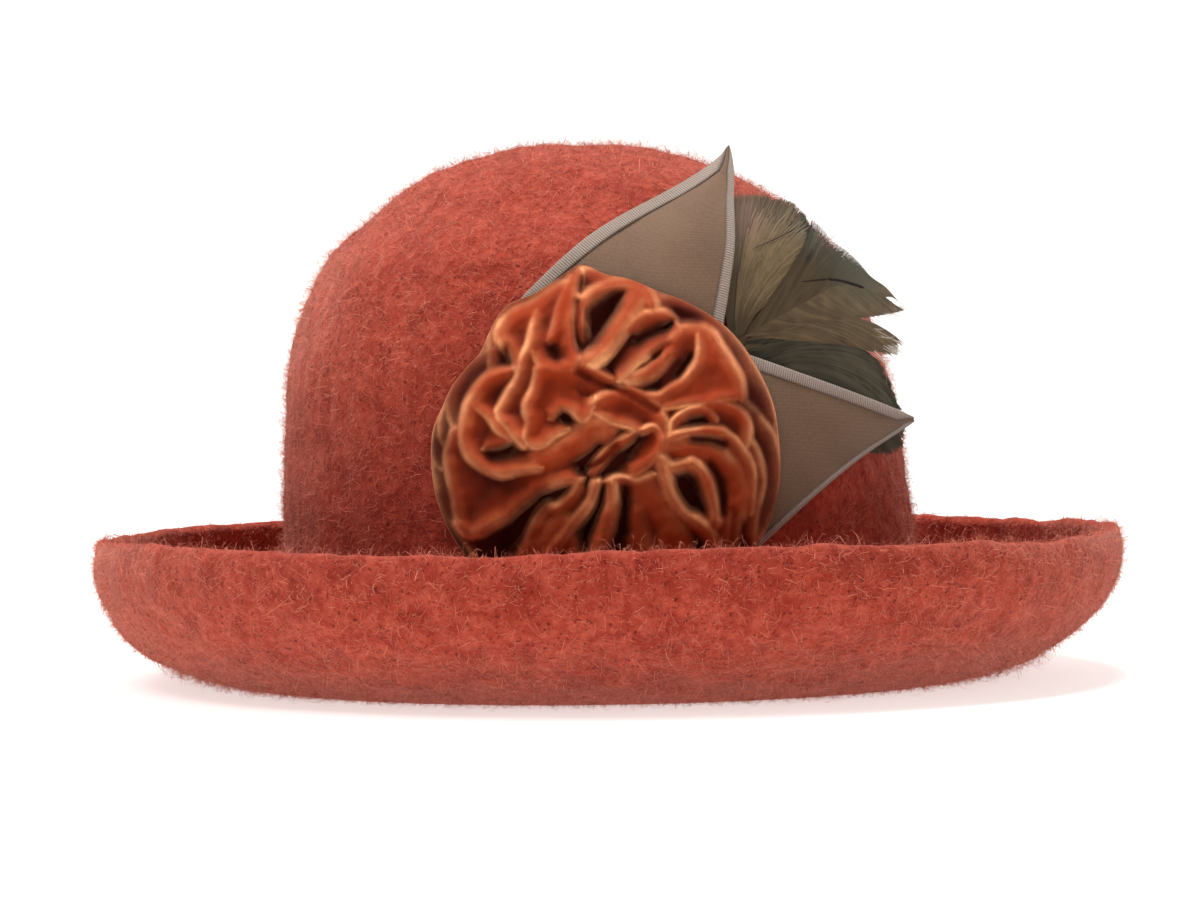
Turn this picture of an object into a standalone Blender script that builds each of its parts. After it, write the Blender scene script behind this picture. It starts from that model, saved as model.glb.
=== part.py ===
"""Felted wool hat with a rolled brim, a gathered velvet rosette, two folded ribbon points and two plumes.

Metres, +Z up. The hat stands on the flat of its brim at z = 0, with the origin at the middle of its
footprint. +X is the back of the hat, -X the front, and -Y the side that carries the trimming.
"""

import math

import bpy
import numpy as np

mm = 0.001

# Overall sizes of the felt, over its outer faces
brim_length = 333 * mm
brim_width = 305 * mm
crown_length = 207.5 * mm
crown_width = 176 * mm
hat_height = 172.6 * mm
rim_height = 47.2 * mm
felt_thickness = 4.5 * mm

# The brim's section: a fillet at the crown's foot, a flat to stand on and an elliptic roll
foot_fillet = 8 * mm
stand_width = 4 * mm
rim_wave = 0.7 * mm
rim_wave_count = 5
roll_power_front = 1.95
roll_power_back = 1.74
roll_turns = (18, 36, 54, 72, 90, 101)

# The trimming on the crown's wall
seat_gap = 0.3 * mm
rosette_diameter = 108 * mm
rosette_clearance = 11.4 * mm
rosette_centre_depth = 26 * mm
rosette_edge_depth = 9.5 * mm
rosette_fold_depth = 6 * mm
ribbon_thickness = 1.2 * mm
ribbon_border_width = 4.2 * mm
ribbon_border_rise = 0.4 * mm
ribbon_tip_width = 1.6 * mm
feather_thickness = 0.9 * mm
quill_rise = 0.5 * mm
spread_rise = 5 * mm

# The rosette's front: how round its dome is, the fold height that lies level with the dome, the share
# of the radius from which the folds fade and how far they do, and how sharply two folds keep apart
dome_power = 0.6
fold_level = 0.6
fade_start = 0.85
fade_share = 0.7
fold_parting = 4

# The rosette's back, hollowed for the ribbons and plumes: the angles in degrees and the shares of the
# radius over which the hollow begins and ends, the angle to count from, and where the back's edge lies
hollow_begins = (-80, -60)
hollow_ends = (135, 155)
hollow_shares = (0.34, 0.46)
hollow_seam = -110
back_edge = 0.95

# The most of a ribbon's row that one border takes near the tip, without and with its foot
border_most = 0.40
border_foot_most = 0.45

# Mesh density, and how the rosette's rings crowd towards its edge
around_count = 52
crown_cells = 14
fillet_cells = 3
stand_cells = 3
rim_cells = 4
rosette_around = 96
rosette_cells = 13
rosette_back_cells = 5
ring_crowding = 0.9
fold_steps = 21
ribbon_cells = 9
ribbon_field_cells = 6
plume_cells = 12

# The crown's sections above its foot: height as a share of the hat's, girth as a share of the
# crown's length and width, and lean of the section's centre as a share of the crown's length
crown_sections = (
    # height, girth, lean
    (0.170, 0.997, -0.009),
    (0.266, 0.990, -0.012),
    (0.432, 0.964, -0.022),
    (0.583, 0.935, -0.030),
    (0.651, 0.902, -0.033),
    (0.717, 0.866, -0.034),
    (0.785, 0.808, -0.035),
    (0.851, 0.696, -0.035),
    (0.919, 0.555, -0.036),
    (0.967, 0.384, -0.041),
    (0.993, 0.204, -0.047),
    (1.000, 0.000, -0.050),
)
foot_lean = -0.007

# The rosette's outline as a share of its radius, by angle seen from its front
rosette_outline = (
    # angle, outline
    (0, 0.98),
    (25, 0.95),
    (50, 0.93),
    (75, 0.95),
    (97, 1.00),
    (112, 0.95),
    (130, 0.92),
    (150, 0.96),
    (180, 1.00),
    (205, 0.99),
    (240, 0.98),
    (300, 0.98),
    (330, 1.00),
)

# The rosette's main folds: a crest runs through three places, each an angle and a share of the radius.
# Its height is a share of the fold depth, and its half width a share of the radius
rosette_folds = (
    # start, middle, end, height, half width
    (100, 0.50, 104, 0.75, 101, 0.96, 1.00, 0.085),
    (97, 0.46, 85, 0.62, 74, 0.82, 0.95, 0.090),
    (80, 0.40, 61, 0.56, 55, 0.80, 0.90, 0.090),
    (57, 0.38, 41, 0.56, 36, 0.82, 0.95, 0.100),
    (36, 0.36, 22, 0.56, 14, 0.82, 0.90, 0.085),
    (14, 0.38, 7, 0.58, -8, 0.82, 0.95, 0.085),
    (-4, 0.40, -14, 0.66, -34, 0.84, 0.95, 0.100),
    (-14, 0.32, -38, 0.50, -44, 0.78, 1.00, 0.090),
    (-46, 0.26, -55, 0.52, -62, 0.84, 0.85, 0.100),
    (-74, 0.20, -84, 0.48, -83, 0.86, 1.00, 0.090),
    (-104, 0.30, -107, 0.60, -104, 0.90, 0.85, 0.090),
    (-112, 0.22, -124, 0.46, -128, 0.84, 0.90, 0.090),
    (-138, 0.24, -148, 0.54, -149, 0.88, 1.00, 0.085),
    (-167, 0.38, -172, 0.66, -190, 0.80, 1.00, 0.085),
    (174, 0.36, 160, 0.58, 142, 0.70, 0.90, 0.085),
    (140, 0.32, 126, 0.46, 110, 0.52, 0.85, 0.085),
    (122, 0.60, 132, 0.76, 114, 0.88, 0.85, 0.080),
    (150, 0.94, 176, 0.96, 205, 0.96, 0.50, 0.070),
    (28, 0.92, 2, 0.93, -28, 0.96, 0.50, 0.070),
    (112, 0.24, 60, 0.31, 6, 0.32, 0.80, 0.080),
    (178, 0.28, -140, 0.18, -60, 0.14, 0.80, 0.090),
)

# The ribbon points' corners round the rosette's centre: direction in degrees from level towards the
# back of the hat, and distance in rosette radii. The tip stands off its base by the rise, the left edge
# settles to left_lift of the back's lift off the crown, and the left and right edges bow out by the bow
ribbon_points = {
    "ribbon_point_upper": {
        "left": (122.0, 0.93),
        "right": (36.0, 0.84),
        "tip": (53.3, 2.08),
        "rise": 4.6 * mm,
        "left_lift": 0.15,
        "bow": (12.0 * mm, -3.0 * mm),
    },
    "ribbon_point_side": {
        "left": (48.0, 0.80),
        "right": (-50.0, 0.93),
        "tip": (3.0, 2.16),
        "rise": 0.0 * mm,
        "left_lift": 1.0,
        "bow": (-1.0 * mm, -6.0 * mm),
    },
}

# The plumes' feathers round the same centre: direction in degrees, reach in rosette radii and half
# width in degrees. Each plume sweeps from one span of directions at its root to another at its tips.
# A feather's sides fall short of its reach by the lobe, and its quill ridge takes a share of its width
plumes = {
    "plume_light": {
        "root_span": (33.8, 66.0),
        "tip_span": (10.3, 62.0),
        "columns": 18,
        "feathers": (
            # direction, reach, half width
            (38, 2.22, 18),
            (28, 2.18, 9),
            (15.5, 2.58, 13),
        ),
    },
    "plume_dark": {
        "root_span": (-8.0, 33.2),
        "tip_span": (-8.0, 9.7),
        "columns": 9,
        "feathers": (
            # direction, reach, half width
            (7, 2.06, 12),
            (0, 2.10, 14),
        ),
    },
}
plume_start = 0.62
plume_sweep_end = 2.20
plume_lobe = 0.30
quill_share = 0.50
spread_power = 1.6

# The mid face of the felt, and the layers of the trimming over the crown's outer face
half_felt = felt_thickness / 2
crown_half = np.array([crown_length / 2 - half_felt, crown_width / 2 - half_felt])
brim_half = np.array([brim_length / 2 - half_felt, brim_width / 2 - half_felt])
brim_reach = float((brim_half - crown_half).mean())
top_height = hat_height - half_felt
foot_height = half_felt + foot_fillet
rosette_radius = rosette_diameter / 2
rosette_height = foot_height + rosette_clearance + rosette_radius
ribbon_back = seat_gap + feather_thickness + quill_rise + seat_gap
upper_ribbon_back = ribbon_back + ribbon_thickness + ribbon_border_rise + seat_gap
rosette_back = upper_ribbon_back + ribbon_thickness + ribbon_border_rise + seat_gap


def smooth_read(keys, values, at):
    """Values at `at` on a smooth curve through a table: cubic pieces with the table's own slopes."""
    slopes = np.gradient(values, keys, axis=0)
    i = np.clip(np.searchsorted(keys, at, side="right") - 1, 0, len(keys) - 2)
    gap = keys[i + 1] - keys[i]
    t = (at - keys[i]) / gap
    if values.ndim > 1:
        gap, t = gap[:, None], t[:, None]
    return (
        values[i] * (1 + 2 * t) * (1 - t) ** 2
        + values[i + 1] * t**2 * (3 - 2 * t)
        + gap * (slopes[i] * t * (1 - t) ** 2 + slopes[i + 1] * t**2 * (t - 1))
    )


def smooth_turn(table, angles):
    """The second column of a table of angles in degrees, read all the way round."""
    rows = np.array(table, float)
    keys = np.concatenate([rows[:, 0] - 360, rows[:, 0], rows[:, 0] + 360])
    return smooth_read(keys, np.tile(rows[:, 1], 3), np.asarray(angles) % 360)


def smooth_step(low, high, at):
    """0 below `low`, 1 above `high` and an even S-curve between them."""
    t = np.clip((at - low) / (high - low), 0, 1)
    return t * t * (3 - 2 * t)


def crown_profile(count=400):
    """The crown's mid face from foot to top: its run, height, girth, lean and slope at even steps."""
    rows = np.array(((foot_height / top_height, 1.0, foot_lean),) + crown_sections)
    # A mirrored row past the pole makes the top arrive level
    rows = np.vstack([rows, rows[-2] * (1, -1, 1)])
    height, reach = rows[:, 0] * top_height, rows[:, 1] * crown_half.mean()
    keys = np.concatenate([[0], np.cumsum(np.hypot(np.diff(height), np.diff(reach)))])
    fine = smooth_read(keys, rows, np.linspace(0, keys[-2], count))
    height, reach = fine[:, 0] * top_height, fine[:, 1] * crown_half.mean()
    run = np.concatenate([[0], np.cumsum(np.hypot(np.diff(height), np.diff(reach)))])
    slope = np.unwrap(np.arctan2(-np.gradient(height), -np.gradient(reach)))
    return run, height, fine[:, 1], fine[:, 2], slope


run_table, height_table, girth_table, lean_table, slope_table = crown_profile()
crown_run = run_table[-1]
rosette_run = float(np.interp(rosette_height, height_table, run_table))
# How far the wall goes for each radian of bearing at the rosette's centre, which is at x = 0
wall_per_bearing = crown_half[0] * float(np.interp(rosette_run, run_table, girth_table)) + half_felt
rosette_lean = crown_length * float(np.interp(rosette_run, run_table, lean_table))
rosette_bearing = math.asin(-rosette_lean / wall_per_bearing)


def on_crown(bearing, run, lift):
    """Points off the crown's outer face by `lift`, at a bearing from the trimmed side and a run up the wall."""
    run = np.clip(run, 0, crown_run)
    slope = np.interp(run, run_table, slope_table)
    off = half_felt + lift
    out = off * -np.sin(slope)
    half = np.interp(run, run_table, girth_table)[..., None] * crown_half + out[..., None]
    x = np.interp(run, run_table, lean_table) * crown_length + half[..., 0] * np.sin(bearing)
    y = -half[..., 1] * np.cos(bearing)
    z = np.interp(run, run_table, height_table) + off * np.cos(slope)
    return np.stack(np.broadcast_arrays(x, y, z), axis=-1)


def round_rosette(direction, distance, lift):
    """Points at a direction (degrees) and distance from the rosette's centre, measured over the crown."""
    angle = np.radians(direction)
    bearing = rosette_bearing + distance * np.cos(angle) / wall_per_bearing
    return on_crown(bearing, rosette_run + distance * np.sin(angle), lift)


def spread(distance):
    """How much further the trimming stands off the crown as it passes the rosette's edge."""
    return spread_rise * np.clip(distance / rosette_radius - 1, 0, None) ** spread_power


def brim_rings(bearing):
    """The brim's mid face at each bearing: reach out from the crown's foot, height and slope, row by row."""
    level = np.ones(len(bearing))
    rings = []
    for turn in np.linspace(0, math.pi / 2, fillet_cells, endpoint=False):
        out, up = foot_fillet * (1 - math.cos(turn)), foot_fillet * (1 - math.sin(turn))
        rings.append((out * level, up * level, (turn - math.pi / 2) * level))
    for out in np.linspace(foot_fillet, foot_fillet + stand_width, stand_cells + 1):
        rings.append((out * level, 0 * level, 0 * level))
    # The roll is a superellipse, blunter towards the back of the hat, that turns in a little at the rim
    power = 2 / (roll_power_back + (roll_power_front - roll_power_back) * (1 - np.sin(bearing)) / 2)
    wave = rim_wave * np.sin(rim_wave_count * bearing)
    past = math.cos(math.radians(roll_turns[-1]))
    roll_width = brim_reach - foot_fillet - stand_width
    roll_height = (rim_height - felt_thickness + wave) / (1 + abs(past) ** power)
    for turn in np.radians(roll_turns):
        across, up = math.sin(turn) ** power, abs(math.cos(turn)) ** power * math.copysign(1, math.cos(turn))
        slope = np.arctan2(
            roll_height * abs(math.cos(turn)) ** (power - 1) * math.sin(turn),
            roll_width * math.sin(turn) ** (power - 1) * math.cos(turn),
        )
        rings.append((foot_fillet + stand_width + roll_width * across, roll_height * (1 - up), slope))
    return rings


def on_brim(bearing, ring, off, turn=0.0):
    """Points off a ring of the brim's mid face, `off` along its normal turned on by `turn`."""
    out, up, slope = ring
    reach = out - off * np.sin(slope - turn)
    share = reach / brim_reach
    half = crown_half + share[:, None] * (brim_half - crown_half)
    lean = foot_lean * crown_length * np.clip(1 - share, 0, 1)
    z = half_felt + up + off * np.cos(slope - turn)
    return np.stack([lean + half[:, 0] * np.sin(bearing), -half[:, 1] * np.cos(bearing), z], axis=-1)


def new_object(name, points, faces, colour, roughness, sheen=0.0):
    """A mesh object, shaded smooth, with its own plain material."""
    mesh = bpy.data.meshes.new(name)
    mesh.from_pydata(points.tolist(), [], faces)
    mesh.shade_smooth()
    material = bpy.data.materials.new(name)
    material.use_nodes = True
    shader = material.node_tree.nodes["Principled BSDF"]
    shader.inputs["Base Color"].default_value = (*colour, 1)
    shader.inputs["Roughness"].default_value = roughness
    shader.inputs["Metallic"].default_value = 0
    shader.inputs["Sheen Weight"].default_value = sheen
    mesh.materials.append(material)
    piece = bpy.data.objects.new(name, mesh)
    bpy.context.scene.collection.objects.link(piece)
    return piece


def ring_solid(name, first_pole, rings, last_pole, **looks):
    """A closed solid through rings of points, closed by a fan round a pole at each end."""
    count = len(rings[0])
    points = np.vstack([first_pole[None], *rings, last_pole[None]])
    faces = []
    for i in range(count):
        j = (i + 1) % count
        faces.append((0, 1 + i, 1 + j))
        for row in range(len(rings) - 1):
            a, b = 1 + row * count, 1 + (row + 1) * count
            faces.append((a + i, b + i, b + j, a + j))
        last = 1 + (len(rings) - 1) * count
        faces.append((last + i, len(points) - 1, last + j))
    return new_object(name, points, faces, **looks)


def sheet_solid(name, back, front, **looks):
    """A closed thin solid between two grids of points: rows outward, columns clockwise seen from the front."""
    rows, columns = front.shape[:2]
    points = np.vstack([front.reshape(-1, 3), back.reshape(-1, 3)])
    index = np.arange(rows * columns).reshape(rows, columns)
    under = rows * columns
    faces = []
    for r in range(rows - 1):
        for c in range(columns - 1):
            corner = (index[r, c], index[r, c + 1], index[r + 1, c + 1], index[r + 1, c])
            faces.append(tuple(int(v) for v in corner))
            faces.append(tuple(int(v) + under for v in reversed(corner)))
    edge = [*index[0], *index[1:, -1], *index[-1, -2::-1], *index[-2:0:-1, 0]]
    for a, b in zip(edge, edge[1:] + edge[:1]):
        faces.append((int(b), int(a), int(a) + under, int(b) + under))
    return new_object(name, points, faces, **looks)


def make_felt_body():
    """Crown and brim: one felt wall, from the crown's top out to the rim and back underneath."""
    bearing = np.linspace(0, 2 * math.pi, around_count, endpoint=False)
    runs = np.linspace(crown_run, 0, crown_cells + 1)[1:-1]
    crown_out = [on_crown(bearing, np.full_like(bearing, run), 0.0) for run in runs]
    crown_in = [on_crown(bearing, np.full_like(bearing, run), -felt_thickness) for run in runs]
    brim = brim_rings(bearing)
    brim_top = [on_brim(bearing, ring, half_felt) for ring in brim]
    brim_under = [on_brim(bearing, ring, -half_felt) for ring in brim]
    turns = np.linspace(0, math.pi, rim_cells + 1)[1:-1]
    rim = [on_brim(bearing, brim[-1], half_felt, turn) for turn in turns]
    rings = crown_out + brim_top + rim + brim_under[::-1] + crown_in[::-1]
    top = on_crown(np.zeros(1), np.full(1, crown_run), 0.0)[0]
    inside = on_crown(np.zeros(1), np.full(1, crown_run), -felt_thickness)[0]
    return ring_solid("felt_body", top, rings, inside, colour=(0.46, 0.08, 0.058), roughness=0.95, sheen=0.4)


def fold_height(x, y):
    """The height of the rosette's folds, 0 to 1, at places given in rosette radii from its centre."""
    steps = np.linspace(0, 1, fold_steps)
    total = np.zeros_like(x)
    for fold in rosette_folds:
        angles, shares = np.radians(fold[0:6:2]), np.array(fold[1:6:2])
        ends = np.stack([shares * np.cos(angles), shares * np.sin(angles)])
        blend = np.stack([(1 - steps) * (1 - 2 * steps), 4 * steps * (1 - steps), steps * (2 * steps - 1)])
        crest = ends @ blend
        gap = np.hypot(x[..., None] - crest[0], y[..., None] - crest[1]).min(axis=-1)
        total += (fold[6] * np.exp(-((gap / fold[7]) ** 2))) ** fold_parting
    return total ** (1 / fold_parting)


def rosette_place(share, angle, lift, out=0.0):
    """A place on the rosette: a share of its outline at an angle, seen from the front and laid on the crown."""
    reach = rosette_radius * share * smooth_turn(rosette_outline, np.degrees(angle))
    run = np.interp(rosette_height + reach * np.sin(angle), height_table, run_table)
    half = np.interp(run, run_table, girth_table) * crown_half[0] + half_felt
    lean = np.interp(run, run_table, lean_table) * crown_length
    bearing = np.arcsin(np.clip((reach * np.cos(angle) - lean) / half, -1, 1))
    return on_crown(bearing, run, lift) - np.stack([0 * angle, out + 0 * angle, 0 * angle], axis=-1)


def make_rosette():
    """The gathered velvet round: a domed, folded front and a back hollowed for the ribbons and plumes."""
    angle = np.linspace(0, 2 * math.pi, rosette_around, endpoint=False)
    degrees = (np.degrees(angle) - hollow_seam) % 360 + hollow_seam
    hollowed = smooth_step(*hollow_begins, degrees) * (1 - smooth_step(*hollow_ends, degrees))

    def front(share):
        outline = share * smooth_turn(rosette_outline, degrees)
        folds = fold_height(outline * np.cos(angle), outline * np.sin(angle)) - fold_level
        dome = (rosette_centre_depth - rosette_edge_depth) * (1 - share**2) ** dome_power
        fade = 1 - fade_share * smooth_step(fade_start, 1.0, share)
        out = rosette_edge_depth + dome + rosette_fold_depth * folds * fade
        return rosette_place(share, angle, 0.0, out)

    def back(share):
        hollow = (rosette_back - seat_gap) * hollowed * smooth_step(*hollow_shares, share)
        return rosette_place(share, angle, seat_gap + hollow)

    shares = np.linspace(0, 1, rosette_cells + 1)[1:] ** ring_crowding
    fronts = [front(share) for share in shares]
    backs = [back(share) for share in np.linspace(back_edge, 0, rosette_back_cells + 1)[:-1]]
    centre_front = front(0.0).mean(axis=0)
    centre_back = back(0.0).mean(axis=0)
    looks = dict(colour=(0.40, 0.09, 0.02), roughness=0.8, sheen=0.6)
    return ring_solid("velvet_rosette", centre_front, fronts + backs, centre_back, **looks)


def flat_place(corner):
    """A corner given as a direction and a distance, as a place on a flat sheet round the rosette's centre."""
    direction, distance = math.radians(corner[0]), corner[1] * rosette_radius
    return np.array([distance * math.cos(direction), distance * math.sin(direction)])


def make_ribbon_point(name, back_lift):
    """A folded ribbon point, tucked under the rosette, with a raised band along its two free edges."""
    point = ribbon_points[name]
    left, right, tip = (flat_place(point[corner]) for corner in ("left", "right", "tip"))
    along = np.linspace(0, 1, ribbon_cells + 1)[:, None]
    base = right - left
    width = np.linalg.norm(base) * (1 - along) + ribbon_tip_width * along
    band = np.minimum(ribbon_border_width / width, border_most)
    inner = np.minimum(band + 2 * ribbon_border_rise / width, border_foot_most)
    field = inner + (1 - 2 * inner) * np.linspace(0, 1, ribbon_field_cells + 1)
    across = np.hstack([0 * band, band, field, 1 - band, 0 * band + 1])
    raised = np.ones(across.shape[1])
    raised[2:-2] = 0
    # Each row is a line across the ribbon, and the free edges bow out a little halfway up
    bow = np.where(across < 0.5, -point["bow"][0], point["bow"][1]) * np.abs(2 * across - 1)
    offset = (across - 0.5) * width + bow * np.sin(math.pi * along)
    middle = (left + right) / 2 * (1 - along) + tip * along
    flat = middle[:, None] + offset[..., None] * base / np.linalg.norm(base)
    distance = np.hypot(flat[..., 0], flat[..., 1])
    direction = np.degrees(np.arctan2(flat[..., 1], flat[..., 0]))
    settled = point["left_lift"] + (1 - point["left_lift"]) * smooth_step(0, 0.5, across)
    lift = back_lift * settled + spread(distance) + point["rise"] * along**2
    back = round_rosette(direction, distance, lift)
    front = round_rosette(direction, distance, lift + ribbon_thickness + ribbon_border_rise * raised)
    looks = dict(colour=(0.20, 0.14, 0.10), roughness=0.7, sheen=0.2)
    return sheet_solid(name, back, front, **looks)


def make_plume(name, colour):
    """A plume: overlapping feathers fanned round the rosette, fused into one thin solid with quill ridges."""
    plume = plumes[name]
    direction = np.linspace(*plume["tip_span"][::-1], plume["columns"])
    root_direction = np.linspace(*plume["root_span"][::-1], plume["columns"])
    feathers = np.array(plume["feathers"])
    aside = (direction - feathers[:, :1]) / feathers[:, 2:]
    reach = (feathers[:, 1:2] * (1 - plume_lobe * np.minimum(aside**2, 1))).max(axis=0)
    quill = (1 - np.minimum(np.abs(aside) / quill_share, 1)).max(axis=0)
    along = np.linspace(0, 1, plume_cells + 1)[:, None]
    distance = rosette_radius * (plume_start + along * (reach - plume_start))
    lift = seat_gap + spread(distance)
    front_lift = lift + feather_thickness + quill_rise * quill * (1 - along)
    sweep = smooth_step(plume_start * rosette_radius, plume_sweep_end * rosette_radius, distance)
    direction = root_direction + (direction - root_direction) * sweep
    back = round_rosette(direction, distance, lift)
    front = round_rosette(direction, distance, front_lift)
    return sheet_solid(name, back, front, colour=colour, roughness=0.75)


def clear_scene():
    for piece in list(bpy.data.objects):
        bpy.data.objects.remove(piece, do_unlink=True)


def main():
    clear_scene()
    make_felt_body()
    make_rosette()
    make_ribbon_point("ribbon_point_upper", upper_ribbon_back)
    make_ribbon_point("ribbon_point_side", ribbon_back)
    make_plume("plume_light", (0.16, 0.13, 0.08))
    make_plume("plume_dark", (0.05, 0.05, 0.03))


main()
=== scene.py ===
import math

import bpy
import numpy as np
from mathutils import Matrix, Vector


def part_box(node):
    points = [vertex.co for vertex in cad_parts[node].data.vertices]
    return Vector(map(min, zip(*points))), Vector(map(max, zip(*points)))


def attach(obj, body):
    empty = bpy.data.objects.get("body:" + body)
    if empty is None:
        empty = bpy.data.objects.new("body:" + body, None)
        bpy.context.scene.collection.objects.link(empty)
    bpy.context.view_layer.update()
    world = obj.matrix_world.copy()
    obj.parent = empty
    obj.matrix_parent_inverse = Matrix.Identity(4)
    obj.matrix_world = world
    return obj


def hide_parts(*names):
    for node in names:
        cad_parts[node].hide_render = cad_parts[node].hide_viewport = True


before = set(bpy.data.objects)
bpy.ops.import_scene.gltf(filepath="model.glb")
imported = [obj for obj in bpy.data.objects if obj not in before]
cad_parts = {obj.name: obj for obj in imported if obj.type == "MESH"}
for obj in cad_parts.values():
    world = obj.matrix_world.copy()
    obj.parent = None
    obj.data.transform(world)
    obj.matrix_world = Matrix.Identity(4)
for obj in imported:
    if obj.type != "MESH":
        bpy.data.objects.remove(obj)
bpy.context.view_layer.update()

# Felted wool hat with a rolled brim and a velvet, ribbon and feather trimming.
# Metres, +Z up. +X is the back of the hat, -Y the side that carries the trimming.

mm = 0.001
feltLow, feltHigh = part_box("felt_body")

# the hat's driving sizes, which every piece below is worked out from
hat = {
    "crownLength": 207.5 * mm,
    "crownWidth": 176 * mm,
    "height": feltHigh.z - feltLow.z,
    "rimHeight": 47.2 * mm,
    "wall": 4.5 * mm,
    "footFillet": 8 * mm,
    "standWidth": 4 * mm,
    "rimWave": 0.7 * mm,
    "rimWaves": 5,
    "rollFront": 1.95,  # the roll's bluntness at the front and back of the hat
    "rollBack": 1.74,
    "rollTurn": 101,  # degrees that the roll turns through
    "footLean": -0.007,
}

# the crown's sections above its foot, as shares of its height, girth and length
crownSections = (
    # height, girth, lean
    (0.17, 0.997, -0.009), (0.266, 0.99, -0.012), (0.432, 0.964, -0.022), (0.583, 0.935, -0.03),
    (0.651, 0.902, -0.033), (0.717, 0.866, -0.034), (0.785, 0.808, -0.035), (0.851, 0.696, -0.035),
    (0.919, 0.555, -0.036), (0.967, 0.384, -0.041), (0.993, 0.204, -0.047), (1.0, 0.0, -0.05),
)

trim = {
    "radius": 54 * mm,  # of the rosette
    "clearance": 11.4 * mm,  # from the crown's foot to the rosette's lower edge
    "gap": 0.3 * mm,
    "centreDepth": 26 * mm,
    "edgeDepth": 9.5 * mm,
    "standOff": 5 * mm,  # how far the ribbons and plumes rise off the crown past the rosette
    "standOffPower": 1.6,
    "plumeDepth": 1.7 * mm,
    "ribbonDepth": 1.6 * mm,
    "ribbonWall": 1.2 * mm,
}

halfWall = hat["wall"] / 2
crownHalf = np.array([hat["crownLength"] / 2 - halfWall, hat["crownWidth"] / 2 - halfWall])
brimHalf = np.array([(feltHigh.x - feltLow.x) / 2 - halfWall, (feltHigh.y - feltLow.y) / 2 - halfWall])
brimReach = float((brimHalf - crownHalf).mean())
topHeight = hat["height"] - halfWall
footHeight = halfWall + hat["footFillet"]
radius = trim["radius"]
rosetteHeight = footHeight + trim["clearance"] + radius
sideRibbonLift = trim["gap"] + trim["plumeDepth"]
upperRibbonLift = sideRibbonLift + trim["ribbonDepth"] + trim["gap"]
rosetteLift = upperRibbonLift + trim["ribbonDepth"] + trim["gap"]


def smoothRead(keys, values, at):
    # cubic pieces through a table, each leaving and meeting its rows at the table's own slopes
    slopes = np.gradient(values, keys, axis=0)
    i = np.clip(np.searchsorted(keys, at, side="right") - 1, 0, len(keys) - 2)
    gap = keys[i + 1] - keys[i]
    t = (at - keys[i]) / gap
    if values.ndim > 1:
        gap, t = gap[:, None], t[:, None]
    return (
        values[i] * (1 + 2 * t) * (1 - t) ** 2
        + values[i + 1] * t**2 * (3 - 2 * t)
        + gap * (slopes[i] * t * (1 - t) ** 2 + slopes[i + 1] * t**2 * (t - 1))
    )


def smoothTurn(table, degrees):
    # the second column of a table of angles, read all the way round
    rows = np.array(table, float)
    keys = np.concatenate([rows[:, 0] - 360, rows[:, 0], rows[:, 0] + 360])
    return smoothRead(keys, np.tile(rows[:, 1], 3), np.asarray(degrees) % 360)


def smoothStep(low, high, at):
    # 0 below low, 1 above high, 3t^2 - 2t^3 between
    t = np.clip((at - low) / (high - low), 0, 1)
    return t * t * (3 - 2 * t)


def unit(vectors):
    # each vector at length 1
    return vectors / np.maximum(np.linalg.norm(vectors, axis=-1, keepdims=True), 1e-12)


def leftOf(flat):
    # flat directions turned a quarter to the left
    return np.stack([-flat[..., 1], flat[..., 0]], axis=-1)


def runAlong(line):
    # distance along a line of points, from 0 at its first
    return np.concatenate([[0], np.cumsum(np.linalg.norm(np.diff(line, axis=0), axis=1))])


def softNoise(points, size, seed, waves=26):
    # a sum of plane waves of about one wavelength with random headings and phases, near -1 to 1
    chance = np.random.default_rng(seed)
    heading = unit(chance.normal(size=(waves, 3)))
    heading *= (2 * np.pi / (size * chance.uniform(0.7, 1.6, waves)))[:, None]
    phase = chance.uniform(0, 2 * np.pi, waves)
    return np.sin(points @ heading.T + phase).sum(-1) * 0.9 / math.sqrt(waves)


def crownProfile(count=600):
    # run, height, girth, lean and slope of the crown's mid face at even steps from foot to top
    rows = np.array(((footHeight / topHeight, 1.0, hat["footLean"]),) + crownSections)
    rows = np.vstack([rows, rows[-2] * (1, -1, 1)])  # a mirrored row makes the top arrive level
    size = np.array([topHeight, crownHalf.mean()])
    keys = runAlong(rows[:, :2] * size)
    fine = smoothRead(keys, rows, np.linspace(0, keys[-2], count))
    height, reach = (fine[:, :2] * size).T
    run = runAlong(fine[:, :2] * size)
    slope = np.unwrap(np.arctan2(-np.gradient(height), -np.gradient(reach)))
    return run, height, fine[:, 1], fine[:, 2], slope


runTable, heightTable, girthTable, leanTable, slopeTable = crownProfile()
crownRun = runTable[-1]
rosetteRun = float(np.interp(rosetteHeight, heightTable, runTable))
wallPerBearing = crownHalf[0] * float(np.interp(rosetteRun, runTable, girthTable)) + halfWall
rosetteLean = hat["crownLength"] * float(np.interp(rosetteRun, runTable, leanTable))
rosetteBearing = math.asin(-rosetteLean / wallPerBearing)


def onCrown(bearing, run, lift):
    # an ellipse of the run's girth round its lean, pushed out along the wall's slope by half a wall and lift
    run = np.clip(run, 0, crownRun)
    slope = np.interp(run, runTable, slopeTable)
    off = halfWall + lift
    half = np.interp(run, runTable, girthTable)[..., None] * crownHalf + (off * -np.sin(slope))[..., None]
    x = np.interp(run, runTable, leanTable) * hat["crownLength"] + half[..., 0] * np.sin(bearing)
    y = -half[..., 1] * np.cos(bearing)
    z = np.interp(run, runTable, heightTable) + off * np.cos(slope)
    return np.stack(np.broadcast_arrays(x, y, z), axis=-1)


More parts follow.
